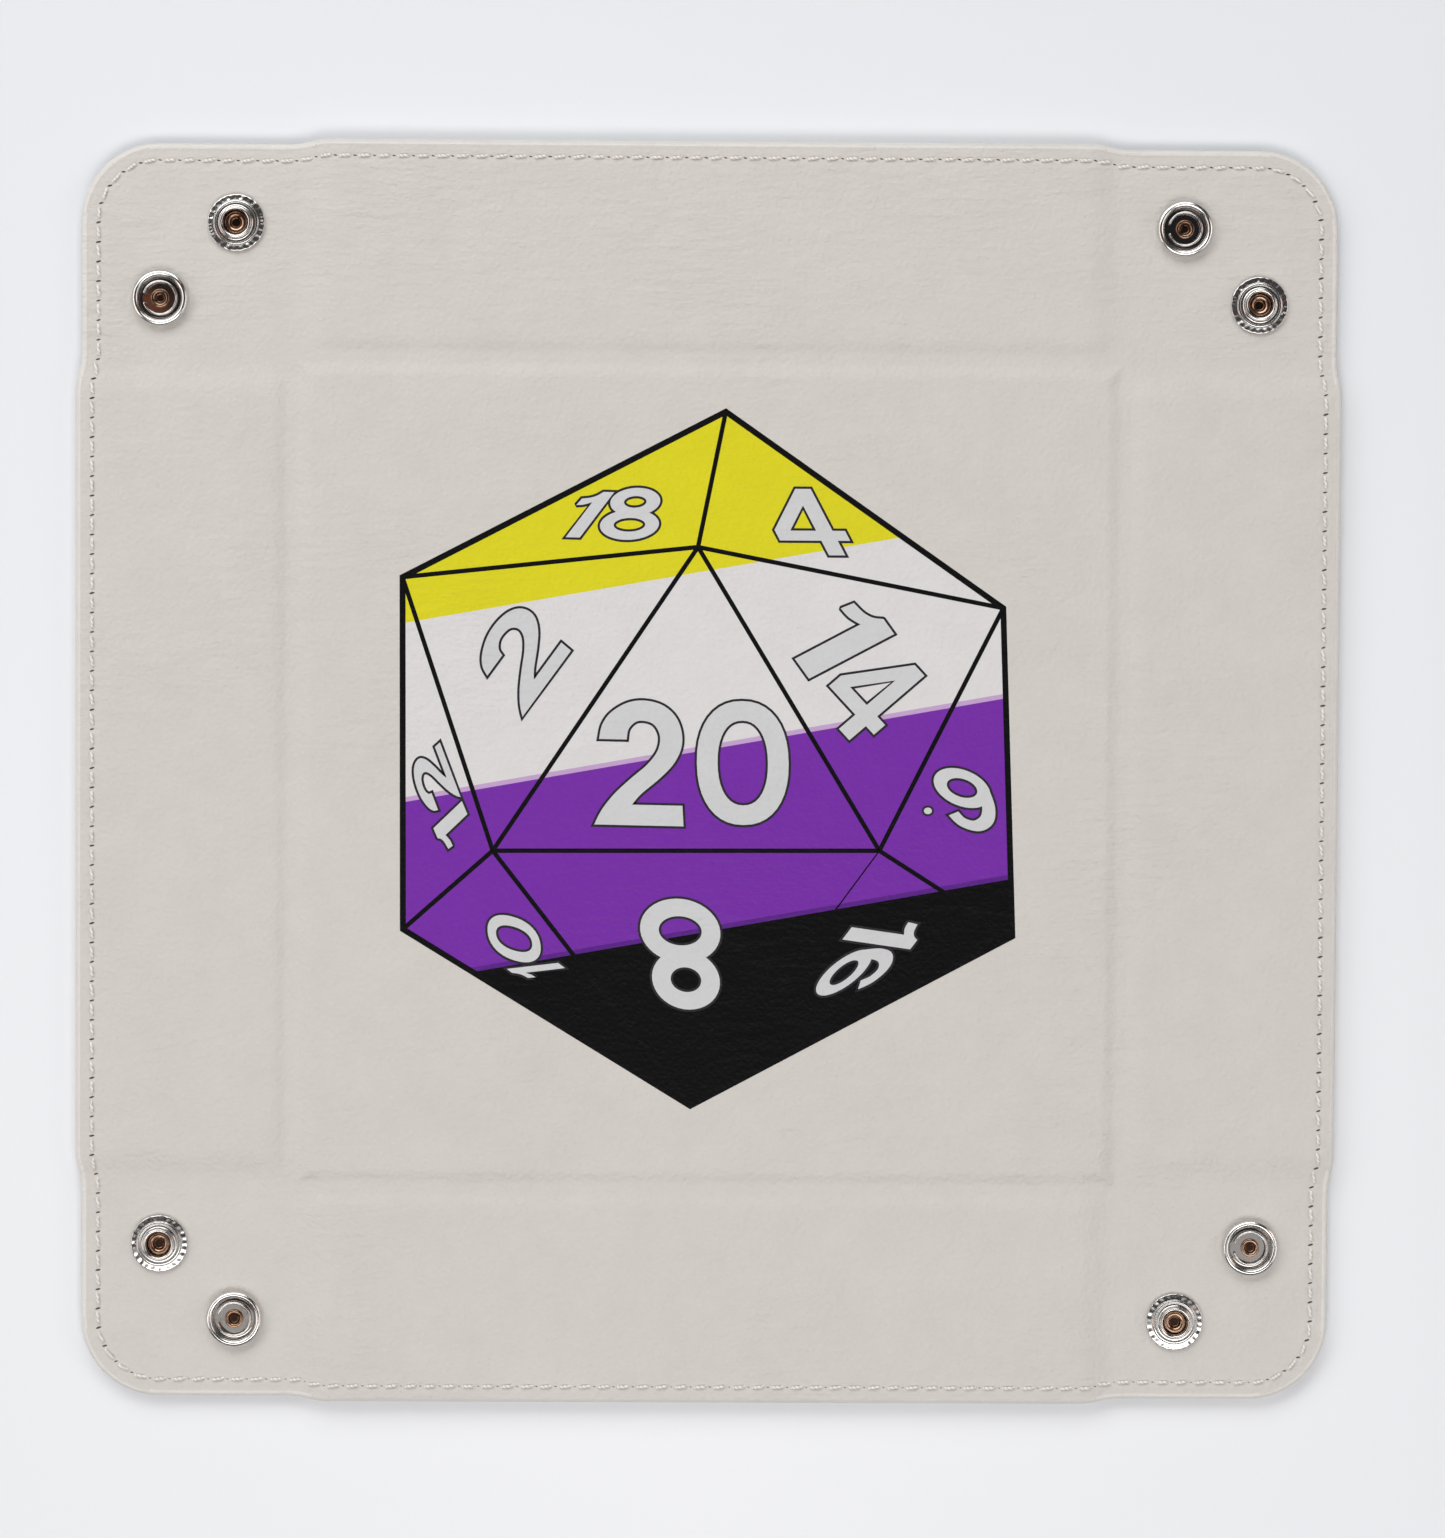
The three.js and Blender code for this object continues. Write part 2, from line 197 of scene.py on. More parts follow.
# Painted highlight: along the outline the skin is given a lighter colour and a little more gloss. This light
# line round the tray stands in for the light that the rolled edge catches.
edge_highlight_leatherette = leatherette("leatherette_with_painted_edge_highlight", "#DFDBD6", "#DAD6D0", 0.46, 0.5)

# ---- Covers ---------------------------------------------------------------------------------------
# Two sheets of leatherette, glued face to face round the boards and bent along the creases.
# Where there is no board under them they step down by half the board's thickness.
SHEET = 0.9
MID = 1.9                      # where the two sheets meet, and the height of every fold
BOARD_RISE = 1.0
FOLD = 87.8
BASE_BOARD = 85.5
FLAP_BOARD_NEAR = 90.2
FLAP_BOARD_END = 82.5
FLAP_EDGE = 133.5
CORNER_EDGE = 132.3
CORNER_RADIUS = 16.5
BRIDGED = 0.38                 # how much of a board's rise is left over the middle of a groove
SNAP_PLACES = [(12.0, 27.9), (27.9, 12.0)]   # from the crossing of the folds, outwards
SNAP_PUCKER = 0.16             # how far the leatherette is drawn in just outside a snap
SNAP_PUCKER_RADIUS = 6.2
SEAM_INSET = 3.6
SEAM_PULL = 0.13               # how far the thread draws it in
EDGE_CREASE = 0.08             # a fine crease between the rolled edge and the seam
EDGE_CREASE_INSET = 1.75
EDGE_ROLL = 0.85               # how far in the edge is rounded over, and how much more over a board
EDGE_ROLL_BOARD = 0.65
PAINTED_HIGHLIGHT_WIDTH = 1.1                # width of the painted highlight along the outline


def ramp(value, low, high):
    t = min(1.0, max(0.0, (value - low) / (high - low)))
    return t * t * (3 - 2 * t)


def turned(point, quarter):
    """A point turned clockwise by quarter turns about the tray's middle."""
    x, y = point
    for _ in range(quarter % 4):
        x, y = y, -x
    return x, y


def outline_half(along):
    """How far the outline stands from the middle line, at a place along one side."""
    return CORNER_EDGE + (FLAP_EDGE - CORNER_EDGE) * ramp(88.0 - abs(along), 0.0, 7.5)


def edge_distance(x, y):
    ax, ay = abs(x), abs(y)
    arc = CORNER_EDGE - CORNER_RADIUS
    if ax > arc and ay > arc:
        return CORNER_RADIUS - math.hypot(ax - arc, ay - arc)
    return min(outline_half(ay) - ax, outline_half(ax) - ay)


def board_swell(x, y):
    """1 over a board, 0 where the two sheets touch. The skin bridges the grooves, so every slope is soft."""
    ax, ay = abs(x), abs(y)
    along, across = (ax, ay) if ay > ax else (ay, ax)
    base = ramp(BASE_BOARD + 2.0 - across, 0.0, 4.2)
    groove = ramp(4.2 - abs(across - (BASE_BOARD + FLAP_BOARD_NEAR) / 2), 0.0, 3.4)
    beside = ramp(FLAP_BOARD_END + 4.4 - along, 0.0, 7.6)
    return max(base, beside * (1 - (1 - BRIDGED) * groove))


def snap_pucker(x, y):
    """The leatherette is drawn in a little round each riveted snap."""
    dip = 0.0
    for u, v in SNAP_PLACES:
        r = math.hypot(abs(x) - FOLD - u, abs(y) - FOLD - v)
        dip += SNAP_PUCKER * math.exp(-((r - SNAP_PUCKER_RADIUS) / 1.6) ** 2)
    return dip


def outer_face(x, y):
    """Height above the middle layer of the outer face of either cover."""
    swell = board_swell(x, y)
    d = max(0.0, edge_distance(x, y))
    seam_pull = SEAM_PULL * math.exp(-((d - SEAM_INSET) / 0.6) ** 2)
    edge_crease = EDGE_CREASE * math.exp(-((d - EDGE_CREASE_INSET) / 0.3) ** 2)
    flat = SHEET + BOARD_RISE * swell - snap_pucker(x, y) - seam_pull - edge_crease
    turn = EDGE_ROLL + EDGE_ROLL_BOARD * swell
    if d >= turn:
        return flat
    return max(0.04, flat * math.sqrt(max(0.0, 1 - (1 - d / turn) ** 2)))


def inner_face(x, y):
    """Height above the middle layer of the inner face of either cover, which is a board's face or zero."""
    d = edge_distance(x, y)
    ax, ay = abs(x), abs(y)
    along, across = (ax, ay) if ay > ax else (ay, ax)
    inside_base = max(ax, ay) < BASE_BOARD - 0.1
    inside_flap = along < FLAP_BOARD_END - 0.1 and across > FLAP_BOARD_NEAR and d > 1.5
    return BOARD_RISE if inside_base or inside_flap else 0.0


def slab(name, rows, side, material, keep=None):
    """A closed sheet with thickness. rows is a grid of (x, y) in mm, side is +1 above the middle layer and -1
    below it, and keep says which cells of the grid are part of the piece."""
    count_r, count_c = len(rows), len(rows[0])
    kept = [[keep is None or keep(
        sum(rows[r + a][c + b][0] for a in (0, 1) for b in (0, 1)) / 4,
        sum(rows[r + a][c + b][1] for a in (0, 1) for b in (0, 1)) / 4,
    ) for c in range(count_c - 1)] for r in range(count_r - 1)]
    vertices, index = [], {}

    def corner(r, c, outer):
        if (r, c, outer) not in index:
            x, y = rows[r][c]
            inner = inner_face(x, y)
            height = max(outer_face(x, y), inner + 0.02) if outer else inner
            index[r, c, outer] = len(vertices)
            vertices.append((x / 1000, y / 1000, (MID + side * height) / 1000))
        return index[r, c, outer]

    faces, walls = [], set()
    for r in range(count_r - 1):
        for c in range(count_c - 1):
            if not kept[r][c]:
                continue
            ring = [(r, c), (r, c + 1), (r + 1, c + 1), (r + 1, c)]
            faces.append([corner(*p, True) for p in ring])
            faces.append([corner(*p, False) for p in reversed(ring)])
            beside = [(r - 1, c), (r, c + 1), (r + 1, c), (r, c - 1)]
            for k, (nr, nc) in enumerate(beside):
                open_side = not (0 <= nr < count_r - 1 and 0 <= nc < count_c - 1 and kept[nr][nc])
                if open_side:
                    a, b = ring[k], ring[(k + 1) % 4]
                    faces.append([corner(*b, True), corner(*a, True), corner(*a, False), corner(*b, False)])
                    walls.add(tuple(sorted((corner(*a, True), corner(*b, True)))))
                    walls.add(tuple(sorted((corner(*a, False), corner(*b, False)))))
    area = 0.0
    for r in range(count_r - 1):
        (x0, y0), (x1, y1), (x2, y2) = rows[r][0], rows[r][-1], rows[r + 1][-1]
        area += (x1 - x0) * (y2 - y0) - (y1 - y0) * (x2 - x0)
    if (area > 0) != (side > 0):
        faces = [list(reversed(f)) for f in faces]
    mesh = bpy.data.meshes.new(name)
    mesh.from_pydata(vertices, [], faces)
    mesh.update()
    mesh.polygons.foreach_set("use_smooth", [True] * len(mesh.polygons))
    sharp = mesh.attributes.new("sharp_edge", "BOOLEAN", "EDGE")
    sharp.data.foreach_set("value", [tuple(sorted(e.vertices)) in walls for e in mesh.edges])
    lay_grain(mesh)
    mesh.materials.append(material)
    # Faces within the painted highlight's width of the outline take the lighter edge material.
    mesh.materials.append(edge_highlight_leatherette)
    mesh.polygons.foreach_set("material_index", [
        int(edge_distance(1000 * f.center.x, 1000 * f.center.y) < PAINTED_HIGHLIGHT_WIDTH) for f in mesh.polygons])
    return place_piece(name, mesh)


def steps(low, high, spacing, fine_low=(), fine_high=()):
    """Places from low to high: close together near each end where asked, and evenly between."""
    start, end = low + max(fine_low, default=0), high - max(fine_high, default=0)
    count = max(1, round((end - start) / spacing))
    middle = [start + (end - start) * i / count for i in range(count + 1)]
    places = [low + d for d in fine_low] + middle + [high - d for d in fine_high]
    return sorted(set(round(p, 4) for p in places))


NEAR_EDGE = (0, 0.03, 0.12, 0.28, 0.5, 0.8, 1.15, 1.45, 1.75, 2.05, 2.8, 3.2, 3.6, 4.0, 4.4, 5.0)
NEAR_STEP = (0, 0.3, 0.6, 0.9, 1.3, 1.8, 2.5, 3.5)

# Middle panel, with a small square tab under the meeting of the creases at each corner.
TAB_INNER = FLAP_BOARD_END
TAB_OUTER = FOLD
tab_places = steps(TAB_INNER, TAB_OUTER, 0.44)
panel_places = [-p for p in reversed(tab_places)] + steps(
    -TAB_INNER + 0.4, TAB_INNER - 0.4, 1.7) + tab_places
panel_places = sorted(set(round(p, 3) for p in panel_places + [-BASE_BOARD, BASE_BOARD]))
panel_grid = [[(x, y) for x in panel_places] for y in panel_places]


def in_panel(x, y):
    ax, ay = abs(x), abs(y)
    return max(ax, ay) < BASE_BOARD or min(ax, ay) > TAB_INNER


for label, side, material, node, slot_name in (
    ("printed", 1, top_leatherette, "base_printed_cover", "top_leatherette"),
    ("under", -1, under_leatherette, "base_under_cover", "under_leatherette"),
):
    cover = slab(f"middle_panel_{label}_cover", panel_grid, side, material, keep=in_panel)
    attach(cover, "base")
    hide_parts(node)

# Flaps: one on each side, beyond the fold. North, east, south and west are quarter turns.
SIDES = ("north", "east", "south", "west")
flap_x = steps(-FLAP_BOARD_END, FLAP_BOARD_END, 2.0, NEAR_STEP, NEAR_STEP)
NEAR_FOLD = (0, 0.3, 0.6, 0.9, 1.3, 1.8, 2.3, 2.8, 3.3, 3.7, 4.0, 4.3, 4.7, 5.2, 5.8, 7.0)
flap_t = steps(BASE_BOARD, FLAP_EDGE, 1.8, NEAR_FOLD, NEAR_EDGE)
flap_grid = [[(x, BASE_BOARD + (y - BASE_BOARD) * (outline_half(x) - BASE_BOARD) / (FLAP_EDGE - BASE_BOARD)
               if y < FLAP_EDGE - 8 else y + outline_half(x) - FLAP_EDGE) for x in flap_x] for y in flap_t]
for quarter, flap in enumerate(SIDES):
    grid = [[turned(p, quarter) for p in row] for row in flap_grid]
    for label, side, material, slot_name in (
        ("top", 1, top_leatherette, "top_leatherette"), ("under", -1, under_leatherette, "under_leatherette"),
    ):
        cover = slab(f"{flap}_flap_{label}_leatherette", grid, side, material)
        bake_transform(cover)
        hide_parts(f"{flap}_flap_{label}_cover")

# ---- Soft corners ---------------------------------------------------------------------------------
# The same two sheets carry on past the ends of the boards and round the corner, with nothing between them.
# Each corner creases into a web beside either flap, an ear round either snap, and a narrow pinch between.
CREASE_START = -3.556
CREASE_SLOPE = math.tan(math.radians(15.36))
CREASE_SOFTNESS = 1.6
PINCH_HALF = 2.4
PINCH_SOFTNESS = 1.4
REACH = CORNER_EDGE - FOLD
ARC = REACH - CORNER_RADIUS
WEB_SIDE = FLAP_BOARD_END - FOLD
ROOT2 = math.sqrt(2)
CORNERS = ("north_west", "north_east", "south_east", "south_west")

inward = sorted([1 - d / REACH for d in NEAR_EDGE] + [i / 26 * (1 - 5.6 / REACH) for i in range(27)])


def crease_u(v):
    return CREASE_START + CREASE_SLOPE * v - CREASE_SOFTNESS / math.cos(math.atan(CREASE_SLOPE))


def between(a, b, t):
    return a[0] + (b[0] - a[0]) * t, a[1] + (b[1] - a[1]) * t


def ear_rim(t, stop):
    """A point on the outline from the crease (t 0) round to where the ear stops short of the diagonal."""
    straight = ARC - crease_u(REACH)
    sweep = math.pi / 4 - math.asin(stop / CORNER_RADIUS)
    length = straight + CORNER_RADIUS * sweep
    s = t * length
    if s <= straight:
        return crease_u(REACH) + s, REACH
    angle = (s - straight) / CORNER_RADIUS
    return ARC + CORNER_RADIUS * math.sin(angle), ARC + CORNER_RADIUS * math.cos(angle)


def web_grid():
    """Rows from the fold to the outline, columns from the flap's side to the crease."""
    rows = []
    for t in inward:
        v = REACH * t
        side_v = (outline_half(FLAP_BOARD_END) - FOLD) * t
        side, crease = (WEB_SIDE, side_v), (crease_u(v), v)
        row = []
        for c in (0, .03, .06, .1, .15, .2, .27, .36, .45, .55, .66, .77, .88, 1):
            u, w = between(side, crease, c)
            limit = outline_half(FOLD + u) - FOLD
            row.append((u, w if t < 0.85 else v + (limit - REACH) * (t - 0.85) / 0.15 if c > 0 else side_v))
        rows.append(row)
    return rows


def ear_grid(stop):
    """Rows from the root of the crease to the outline, columns from the crease to the diagonal."""
    low = 0.22 if stop > PINCH_HALF else 0.0
    root, inner_end = (crease_u(low), low), (low - stop * ROOT2, low)
    rows = []
    for t in inward:
        row = []
        for c in range(21):
            s = c / 20
            row.append(between(between(root, inner_end, s), ear_rim(s, stop), t))
        rows.append(row)
    return rows


def pinch_grid():
    """Rows along the diagonal, columns across it from the stud's ear to the socket's ear."""
    rows = []
    for t in inward:
        row = []
        for n in (3.8, 3.4, 3.0, 2.6, 2.2, 1.8, 1.4, 1.0, 0.5, 0.0, -0.6, -1.2, -1.8, -2.4):
            rim = ARC * ROOT2 + math.sqrt(CORNER_RADIUS ** 2 - n * n)
            s = -abs(n) + (rim + abs(n)) * t
            row.append(((s - n) / ROOT2, (s + n) / ROOT2))
        rows.append(row)
    return rows


def corner_place(u, v, mirrored, quarter):
    """From u and v at the north-west corner to the tray's x and y, at any of the four corners."""
    if mirrored:
        u, v = v, u
    return turned((-FOLD - u, FOLD + v), quarter)


def corner_cover(name, grid, mirrored, quarter, bodies, start, end, node):
    places = [[corner_place(*p, mirrored, quarter) for p in row] for row in grid]
    a, b = corner_place(*start, mirrored, quarter), corner_place(*end, mirrored, quarter)
    for label, side, material, slot_name in (
        ("top", 1, top_leatherette, "top_leatherette"), ("under", -1, under_leatherette, "under_leatherette"),
    ):
        cover = slab(f"{name}_{label}_leatherette", places, side, material)
        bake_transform(cover)
        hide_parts(node)
    bends[name] = bodies, (a[0] / 1000, a[1] / 1000, MID / 1000), (b[0] / 1000, b[1] / 1000, MID / 1000)


bends = {}
cos_crease, sin_crease = math.cos(math.atan(CREASE_SLOPE)), math.sin(math.atan(CREASE_SLOPE))
for quarter, corner in enumerate(CORNERS):
    for half, flap, mirrored, stop in (
        ("stud", SIDES[quarter], False, PINCH_HALF + PINCH_SOFTNESS),
        ("socket", SIDES[quarter - 1], True, PINCH_HALF),
    ):
        web, ear = f"{corner}_{half}_web", f"{corner}_{half}_ear"
        corner_cover(f"{corner}_corner_{half}_web", web_grid(), mirrored, quarter, (f"{flap}_flap", web),
                     (FLAP_BOARD_END - FOLD + 0.4, 20), (FLAP_BOARD_END - FOLD + 2.2, 20),
                     f"{corner}_corner_{half}_web")
        on_crease = (CREASE_START + CREASE_SLOPE * 20, 20)
        across = CREASE_SOFTNESS * cos_crease, -CREASE_SOFTNESS * sin_crease
        corner_cover(f"{corner}_corner_{half}_ear", ear_grid(stop), mirrored, quarter, (web, ear),
                     (on_crease[0] - across[0], on_crease[1] - across[1]),
                     (on_crease[0] + across[0], on_crease[1] + across[1]), f"{corner}_corner_{half}_ear")
    n0, n1 = PINCH_HALF + PINCH_SOFTNESS, PINCH_HALF - PINCH_SOFTNESS
    corner_cover(f"{corner}_corner_pinch", pinch_grid(), False, quarter,
                 (f"{corner}_stud_ear", f"{corner}_pinch_strip"),
                 ((30 - n0) / ROOT2, (30 + n0) / ROOT2), ((30 - n1) / ROOT2, (30 + n1) / ROOT2),
                 f"{corner}_corner_pinch_strip")

# ---- Boards ----------------------------------------------------------------------------------------
# Grey-brown millboard, cut square and glued between the covers: one in the middle and one in each flap.
# None of it shows; it gives the eye a dull fibrous edge wherever a cover is lifted.
millboard, tree = start_material("grey_brown_millboard")
place = add(tree, "ShaderNodeTexCoord").outputs["Object"]
fibres = add(tree, "ShaderNodeTexNoise", [("Vector", place)], Scale=1000 / 1.5, Detail=6.0, Roughness=0.75)
board_tone = add(tree, "ShaderNodeMix", [("Factor", fibres.outputs["Fac"])], data_type="RGBA")
board_tone.inputs["A"].default_value = linear("#7C7265")
board_tone.inputs["B"].default_value = linear("#A2988A")
board_bump = add(tree, "ShaderNodeBump", [("Height", fibres.outputs["Fac"])], Strength=0.5, Distance=0.0001)
finish_material(tree, add(tree, "ShaderNodeBsdfPrincipled", [
    ("Base Color", board_tone.outputs["Result"]), ("Normal", board_bump.outputs["Normal"])], Roughness=0.92))
for node in ("base_board", *(f"{side}_flap_board" for side in SIDES)):
    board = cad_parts[node]
    board.data.materials.clear()
    board.data.materials.append(millboard)

# ---- Seam ------------------------------------------------------------------------------------------
# One lockstitch of bonded polyester thread right round the tray, through both sheets, sewn after gluing.
# Pale dashes on both faces, each diving into a needle slit drawn as a small dark tick of painted shade.
STITCH_COUNT = 246
STITCH_LENGTH = 2.9
THREAD_RADIUS = 0.34
SLIT_LENGTH = 1.1
SLIT_WIDTH = 0.4
SLIT_THICKNESS = 0.03
STITCH_RISE = {1: 0.24, -1: 0.08}    # the thread stands up more on the printed face than underneath
STITCH_DIVE = 0.58
STITCH_RINGS = 9
STITCH_SIDES = 8
random.seed(4)

thread, tree = start_material("bonded_polyester_thread")
place = add(tree, "ShaderNodeTexCoord").outputs["Object"]
ply = add(tree, "ShaderNodeTexWave", [("Vector", place)], Scale=1000 / 1.6, Distortion=1.5, Detail=2.0,
          bands_direction="DIAGONAL")
thread_tone = add(tree, "ShaderNodeMix", [("Factor", ply.outputs["Fac"])], data_type="RGBA")
thread_tone.inputs["A"].default_value = linear("#CFC8C1")
thread_tone.inputs["B"].default_value = linear("#F0ECE7")
ply_bump = add(tree, "ShaderNodeBump", [("Height", ply.outputs["Fac"])], Strength=0.4, Distance=0.00005)
finish_material(tree, add(tree, "ShaderNodeBsdfPrincipled", [
    ("Base Color", thread_tone.outputs["Result"]), ("Normal", ply_bump.outputs["Normal"])], Roughness=0.6))

slit_shade, tree = start_material("needle_slit_shade")
place = add(tree, "ShaderNodeTexCoord").outputs["Object"]
# Painted shade, mottled a little.
slit_shade_mottle = add(tree, "ShaderNodeTexNoise", [("Vector", place)], Scale=1000 / 0.4, Detail=2.0)
slit_tone = add(tree, "ShaderNodeMix", [("Factor", slit_shade_mottle.outputs["Fac"])], data_type="RGBA")
slit_tone.inputs["A"].default_value = linear("#3A3531")
slit_tone.inputs["B"].default_value = linear("#5B544E")
finish_material(tree, add(tree, "ShaderNodeBsdfPrincipled", [("Base Color", slit_tone.outputs["Result"])],
                          Roughness=0.9))


def seam_place(s):
    """Place on the seam, and its heading in radians, s mm clockwise from the north side's west end."""
    straight = 2 * (CORNER_EDGE - CORNER_RADIUS)
    radius = CORNER_RADIUS - SEAM_INSET
    quarter, s = divmod(s, straight + radius * math.pi / 2)
    if s < straight:
        x, heading = s - straight / 2, 0.0
        spot = x, outline_half(x) - SEAM_INSET
    else:
        heading = -(s - straight) / radius
        spot = (straight / 2 + radius * math.sin(-heading), straight / 2 + radius * math.cos(-heading))
    return turned(spot, int(quarter)), heading - quarter * math.pi / 2


def seam_piece(x, y):
    """The name of the piece of cover that a place on the seam lies on."""
    if min(abs(x), abs(y)) < FLAP_BOARD_END:
        quarter = (0 if y > 0 else 2) if abs(y) > abs(x) else (1 if x > 0 else 3)
        return f"{SIDES[quarter]}_flap"
    quarter = [(-1, 1), (1, 1), (1, -1), (-1, -1)].index((math.copysign(1, x), math.copysign(1, y)))
    west, north = turned((x, y), -quarter)
    u, v = -west - FOLD, north - FOLD
    across = (v - u) / ROOT2
    corner = CORNERS[quarter]
    if -PINCH_HALF <= across <= PINCH_HALF + PINCH_SOFTNESS:
        return f"{corner}_corner_pinch"
    half = "stud" if across > 0 else "socket"
    if across < 0:
        u, v = v, u
    return f"{corner}_corner_{half}_{'web' if u < crease_u(v) else 'ear'}"


def seam_point(x, y, side, lift):
    return x / 1000, y / 1000, (MID + side * (outer_face(x, y) + lift)) / 1000


def add_stitch(vertices, faces, looks, s, side):
    """One visible length of thread: a low arch whose ends dive into the leatherette."""
    tilt = math.radians(random.uniform(3, 9))
    rings, sides = STITCH_RINGS, STITCH_SIDES
    first = len(vertices)
    (cx, cy), heading = seam_place(s)
    length = STITCH_LENGTH * random.uniform(0.94, 1.03)
    for i in range(rings):
        t = i / (rings - 1) * 2 - 1
        along, aside = t * length / 2, t * length / 2 * math.tan(tilt)
        x = cx + along * math.cos(heading) - aside * math.sin(heading)
        y = cy + along * math.sin(heading) + aside * math.cos(heading)
        lift = STITCH_RISE[side] - STITCH_DIVE * abs(t) ** 5
        for k in range(sides):
            a = k / sides * 2 * math.pi
            off = THREAD_RADIUS * math.cos(a)
            vertices.append(seam_point(x - off * math.sin(heading), y + off * math.cos(heading), side,
                                       lift + THREAD_RADIUS * 0.8 * math.sin(a)))
    for i in range(rings - 1):
        for k in range(sides):
            a, b = first + i * sides + k, first + i * sides + (k + 1) % sides
            faces.append((a, b, b + sides, a + sides) if side > 0 else (a + sides, b + sides, b, a))
            looks.append(0)
    last = first + (rings - 1) * sides
    ends = [tuple(first + k for k in reversed(range(sides))), tuple(last + k for k in range(sides))]
    for end in ends:
        faces.append(end if side > 0 else tuple(reversed(end)))
        looks.append(0)


def add_slit(vertices, faces, looks, s, side):
    """Painted shade of the slit that a stitch dives into: a thin dark lens lying in the leatherette."""
    (cx, cy), heading = seam_place(s)
    upright = abs(math.sin(heading))
    turn = math.radians(-12 + 27 * upright + random.uniform(-6, 6))
    # Painted shade: the ticks are drawn smaller along the north row and smaller still along the south, as the
    # light falls from the north.
    size = random.uniform(0.85, 1.1) * (upright + (1 - upright) * (0.7 if cy > 0 else 0.45))
    first, count = len(vertices), 10
    for top in (1, 0):
        for k in range(count):
            a = k / count * 2 * math.pi
            lx, ly = size * SLIT_LENGTH / 2 * math.cos(a), size * SLIT_WIDTH / 2 * math.sin(a)
            x = cx + lx * math.cos(turn) - ly * math.sin(turn)
            y = cy + lx * math.sin(turn) + ly * math.cos(turn)
            vertices.append(seam_point(x, y, side, SLIT_THICKNESS if top else -0.05))
    up = tuple(first + k for k in range(count))
    down = tuple(first + count + k for k in reversed(range(count)))
    walls = [(first + (k + 1) % count, first + k, first + count + k, first + count + (k + 1) % count)
             for k in range(count)]
    for face in (up, down, *walls):
        faces.append(face if side > 0 else tuple(reversed(face)))
        looks.append(1)


seam_length = 8 * (CORNER_EDGE - CORNER_RADIUS) + 2 * math.pi * (CORNER_RADIUS - SEAM_INSET)
seam_parts = {}
for i in range(STITCH_COUNT):
    for side in (1, -1):
        s = (i + 0.5) / STITCH_COUNT * seam_length
        add_stitch(*seam_parts.setdefault(seam_piece(*seam_place(s)[0]), ([], [], [])), s, side)
        s = i / STITCH_COUNT * seam_length
        add_slit(*seam_parts.setdefault(seam_piece(*seam_place(s)[0]), ([], [], [])), s, side)
for part, (vertices, faces, looks) in seam_parts.items():
    mesh = bpy.data.meshes.new(f"{part}_seam")
    mesh.from_pydata(vertices, [], faces)
    mesh.polygons.foreach_set("use_smooth", [look == 0 for look in looks])
    mesh.polygons.foreach_set("material_index", looks)
    mesh.materials.append(thread)
    mesh.materials.append(slit_shade)
    seam = place_piece(f"{part}_seam", mesh)
    if part in bends:
        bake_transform(seam)
    else:
        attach(seam, part)
        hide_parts(f"{part}_stitching")

# ---- Print -----------------------------------------------------------------------------------------
# A twenty-sided die in flat bands of colour, laid on the middle panel as thin films of UV-cured ink.
# The films keep the emboss of the leatherette under them, and the black shows it most as a soft gloss.
PANEL_TOP = 3.8
INK_THICKNESS = 0.004
INK_LAYER = 0.008              # how much each layer of ink stands above the one before
INK_STROKE = 0.0015            # and each of four neighbouring strokes within one layer
BAND_SLOPE = math.tan(math.radians(10.1))
BAND_STARTS = {"yellow": 43.3, "white": 5.5, "purple": -33.0}   # height of each band's lower edge at x 0
DIE_TOP, DIE_LEFT_UPPER, DIE_LEFT_LOWER = (3.3, 76.7), (-64.6, 41.5), (-64.3, -32.8)
DIE_BOTTOM, DIE_RIGHT_LOWER, DIE_RIGHT_UPPER = (-3.4, -70.0), (64.6, -33.7), (62.1, 35.7)
FACE_TOP, FACE_LEFT, FACE_RIGHT = (-2.4, 48.2), (-45.4, -16.1), (36.3, -15.7)
HULL_LINE = 1.25
FACE_LINE = 0.95
FAINT_LINE = 0.3
BAND_LINE = 1.0                # the lilac and violet lines along the upper edges of two bands
hull = [DIE_TOP, DIE_LEFT_UPPER, DIE_LEFT_LOWER, DIE_BOTTOM, DIE_RIGHT_LOWER, DIE_RIGHT_UPPER]

ink = {
    "yellow": leatherette("yellow_ink", "#DCD41E", "#D5CD1A", 0.46, 0.25),
    "white": leatherette("white_ink", "#DBD9D8", "#D7D4D3", 0.46, 0.25),
    "lilac": leatherette("lilac_ink", "#C4A4CE", "#BE9CC8", 0.46, 0.25),
    "purple": leatherette("purple_ink", "#762CA6", "#7129A0", 0.46, 0.2),
    "violet": leatherette("violet_ink", "#5A1F86", "#551C80", 0.46, 0.2),
    "black": leatherette("black_ink", "#0D0D0E", "#0A0A0B", 0.46, 0.08),
    "line": leatherette("line_ink", "#0C0B0D", "#0A090B", 0.46, 0.1),
    "numeral": leatherette("grey_numeral_ink", "#CFCFD0", "#CBCBCC", 0.46, 0.25),
    "edge": leatherette("numeral_edge_ink", "#2A272C", "#252227", 0.46, 0.2),
}


def above(shape, height):
    """The part of a flat convex shape above a sloping line."""
    kept = []
    for i, p in enumerate(shape):
        q = shape[(i + 1) % len(shape)]
        dp, dq = p[1] - BAND_SLOPE * p[0] - height, q[1] - BAND_SLOPE * q[0] - height
        if dp >= 0:
            kept.append(p)
        if (dp >= 0) != (dq >= 0):
            kept.append(between(p, q, dp / (dp - dq)))
    return kept


def below(shape, height):
    flipped = [(-x, -y) for x, y in shape]
    return [(-x, -y) for x, y in above(flipped, -height)]


def print_on_panel(name, vertices, faces, look):
    mesh = bpy.data.meshes.new(name)
    mesh.from_pydata([(x / 1000, y / 1000, z / 1000) for x, y, z in vertices], [], faces)
    weld(mesh)
    lay_grain(mesh)
    mesh.materials.append(ink[look])
    printed = place_piece(name, mesh)
    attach(printed, "base")


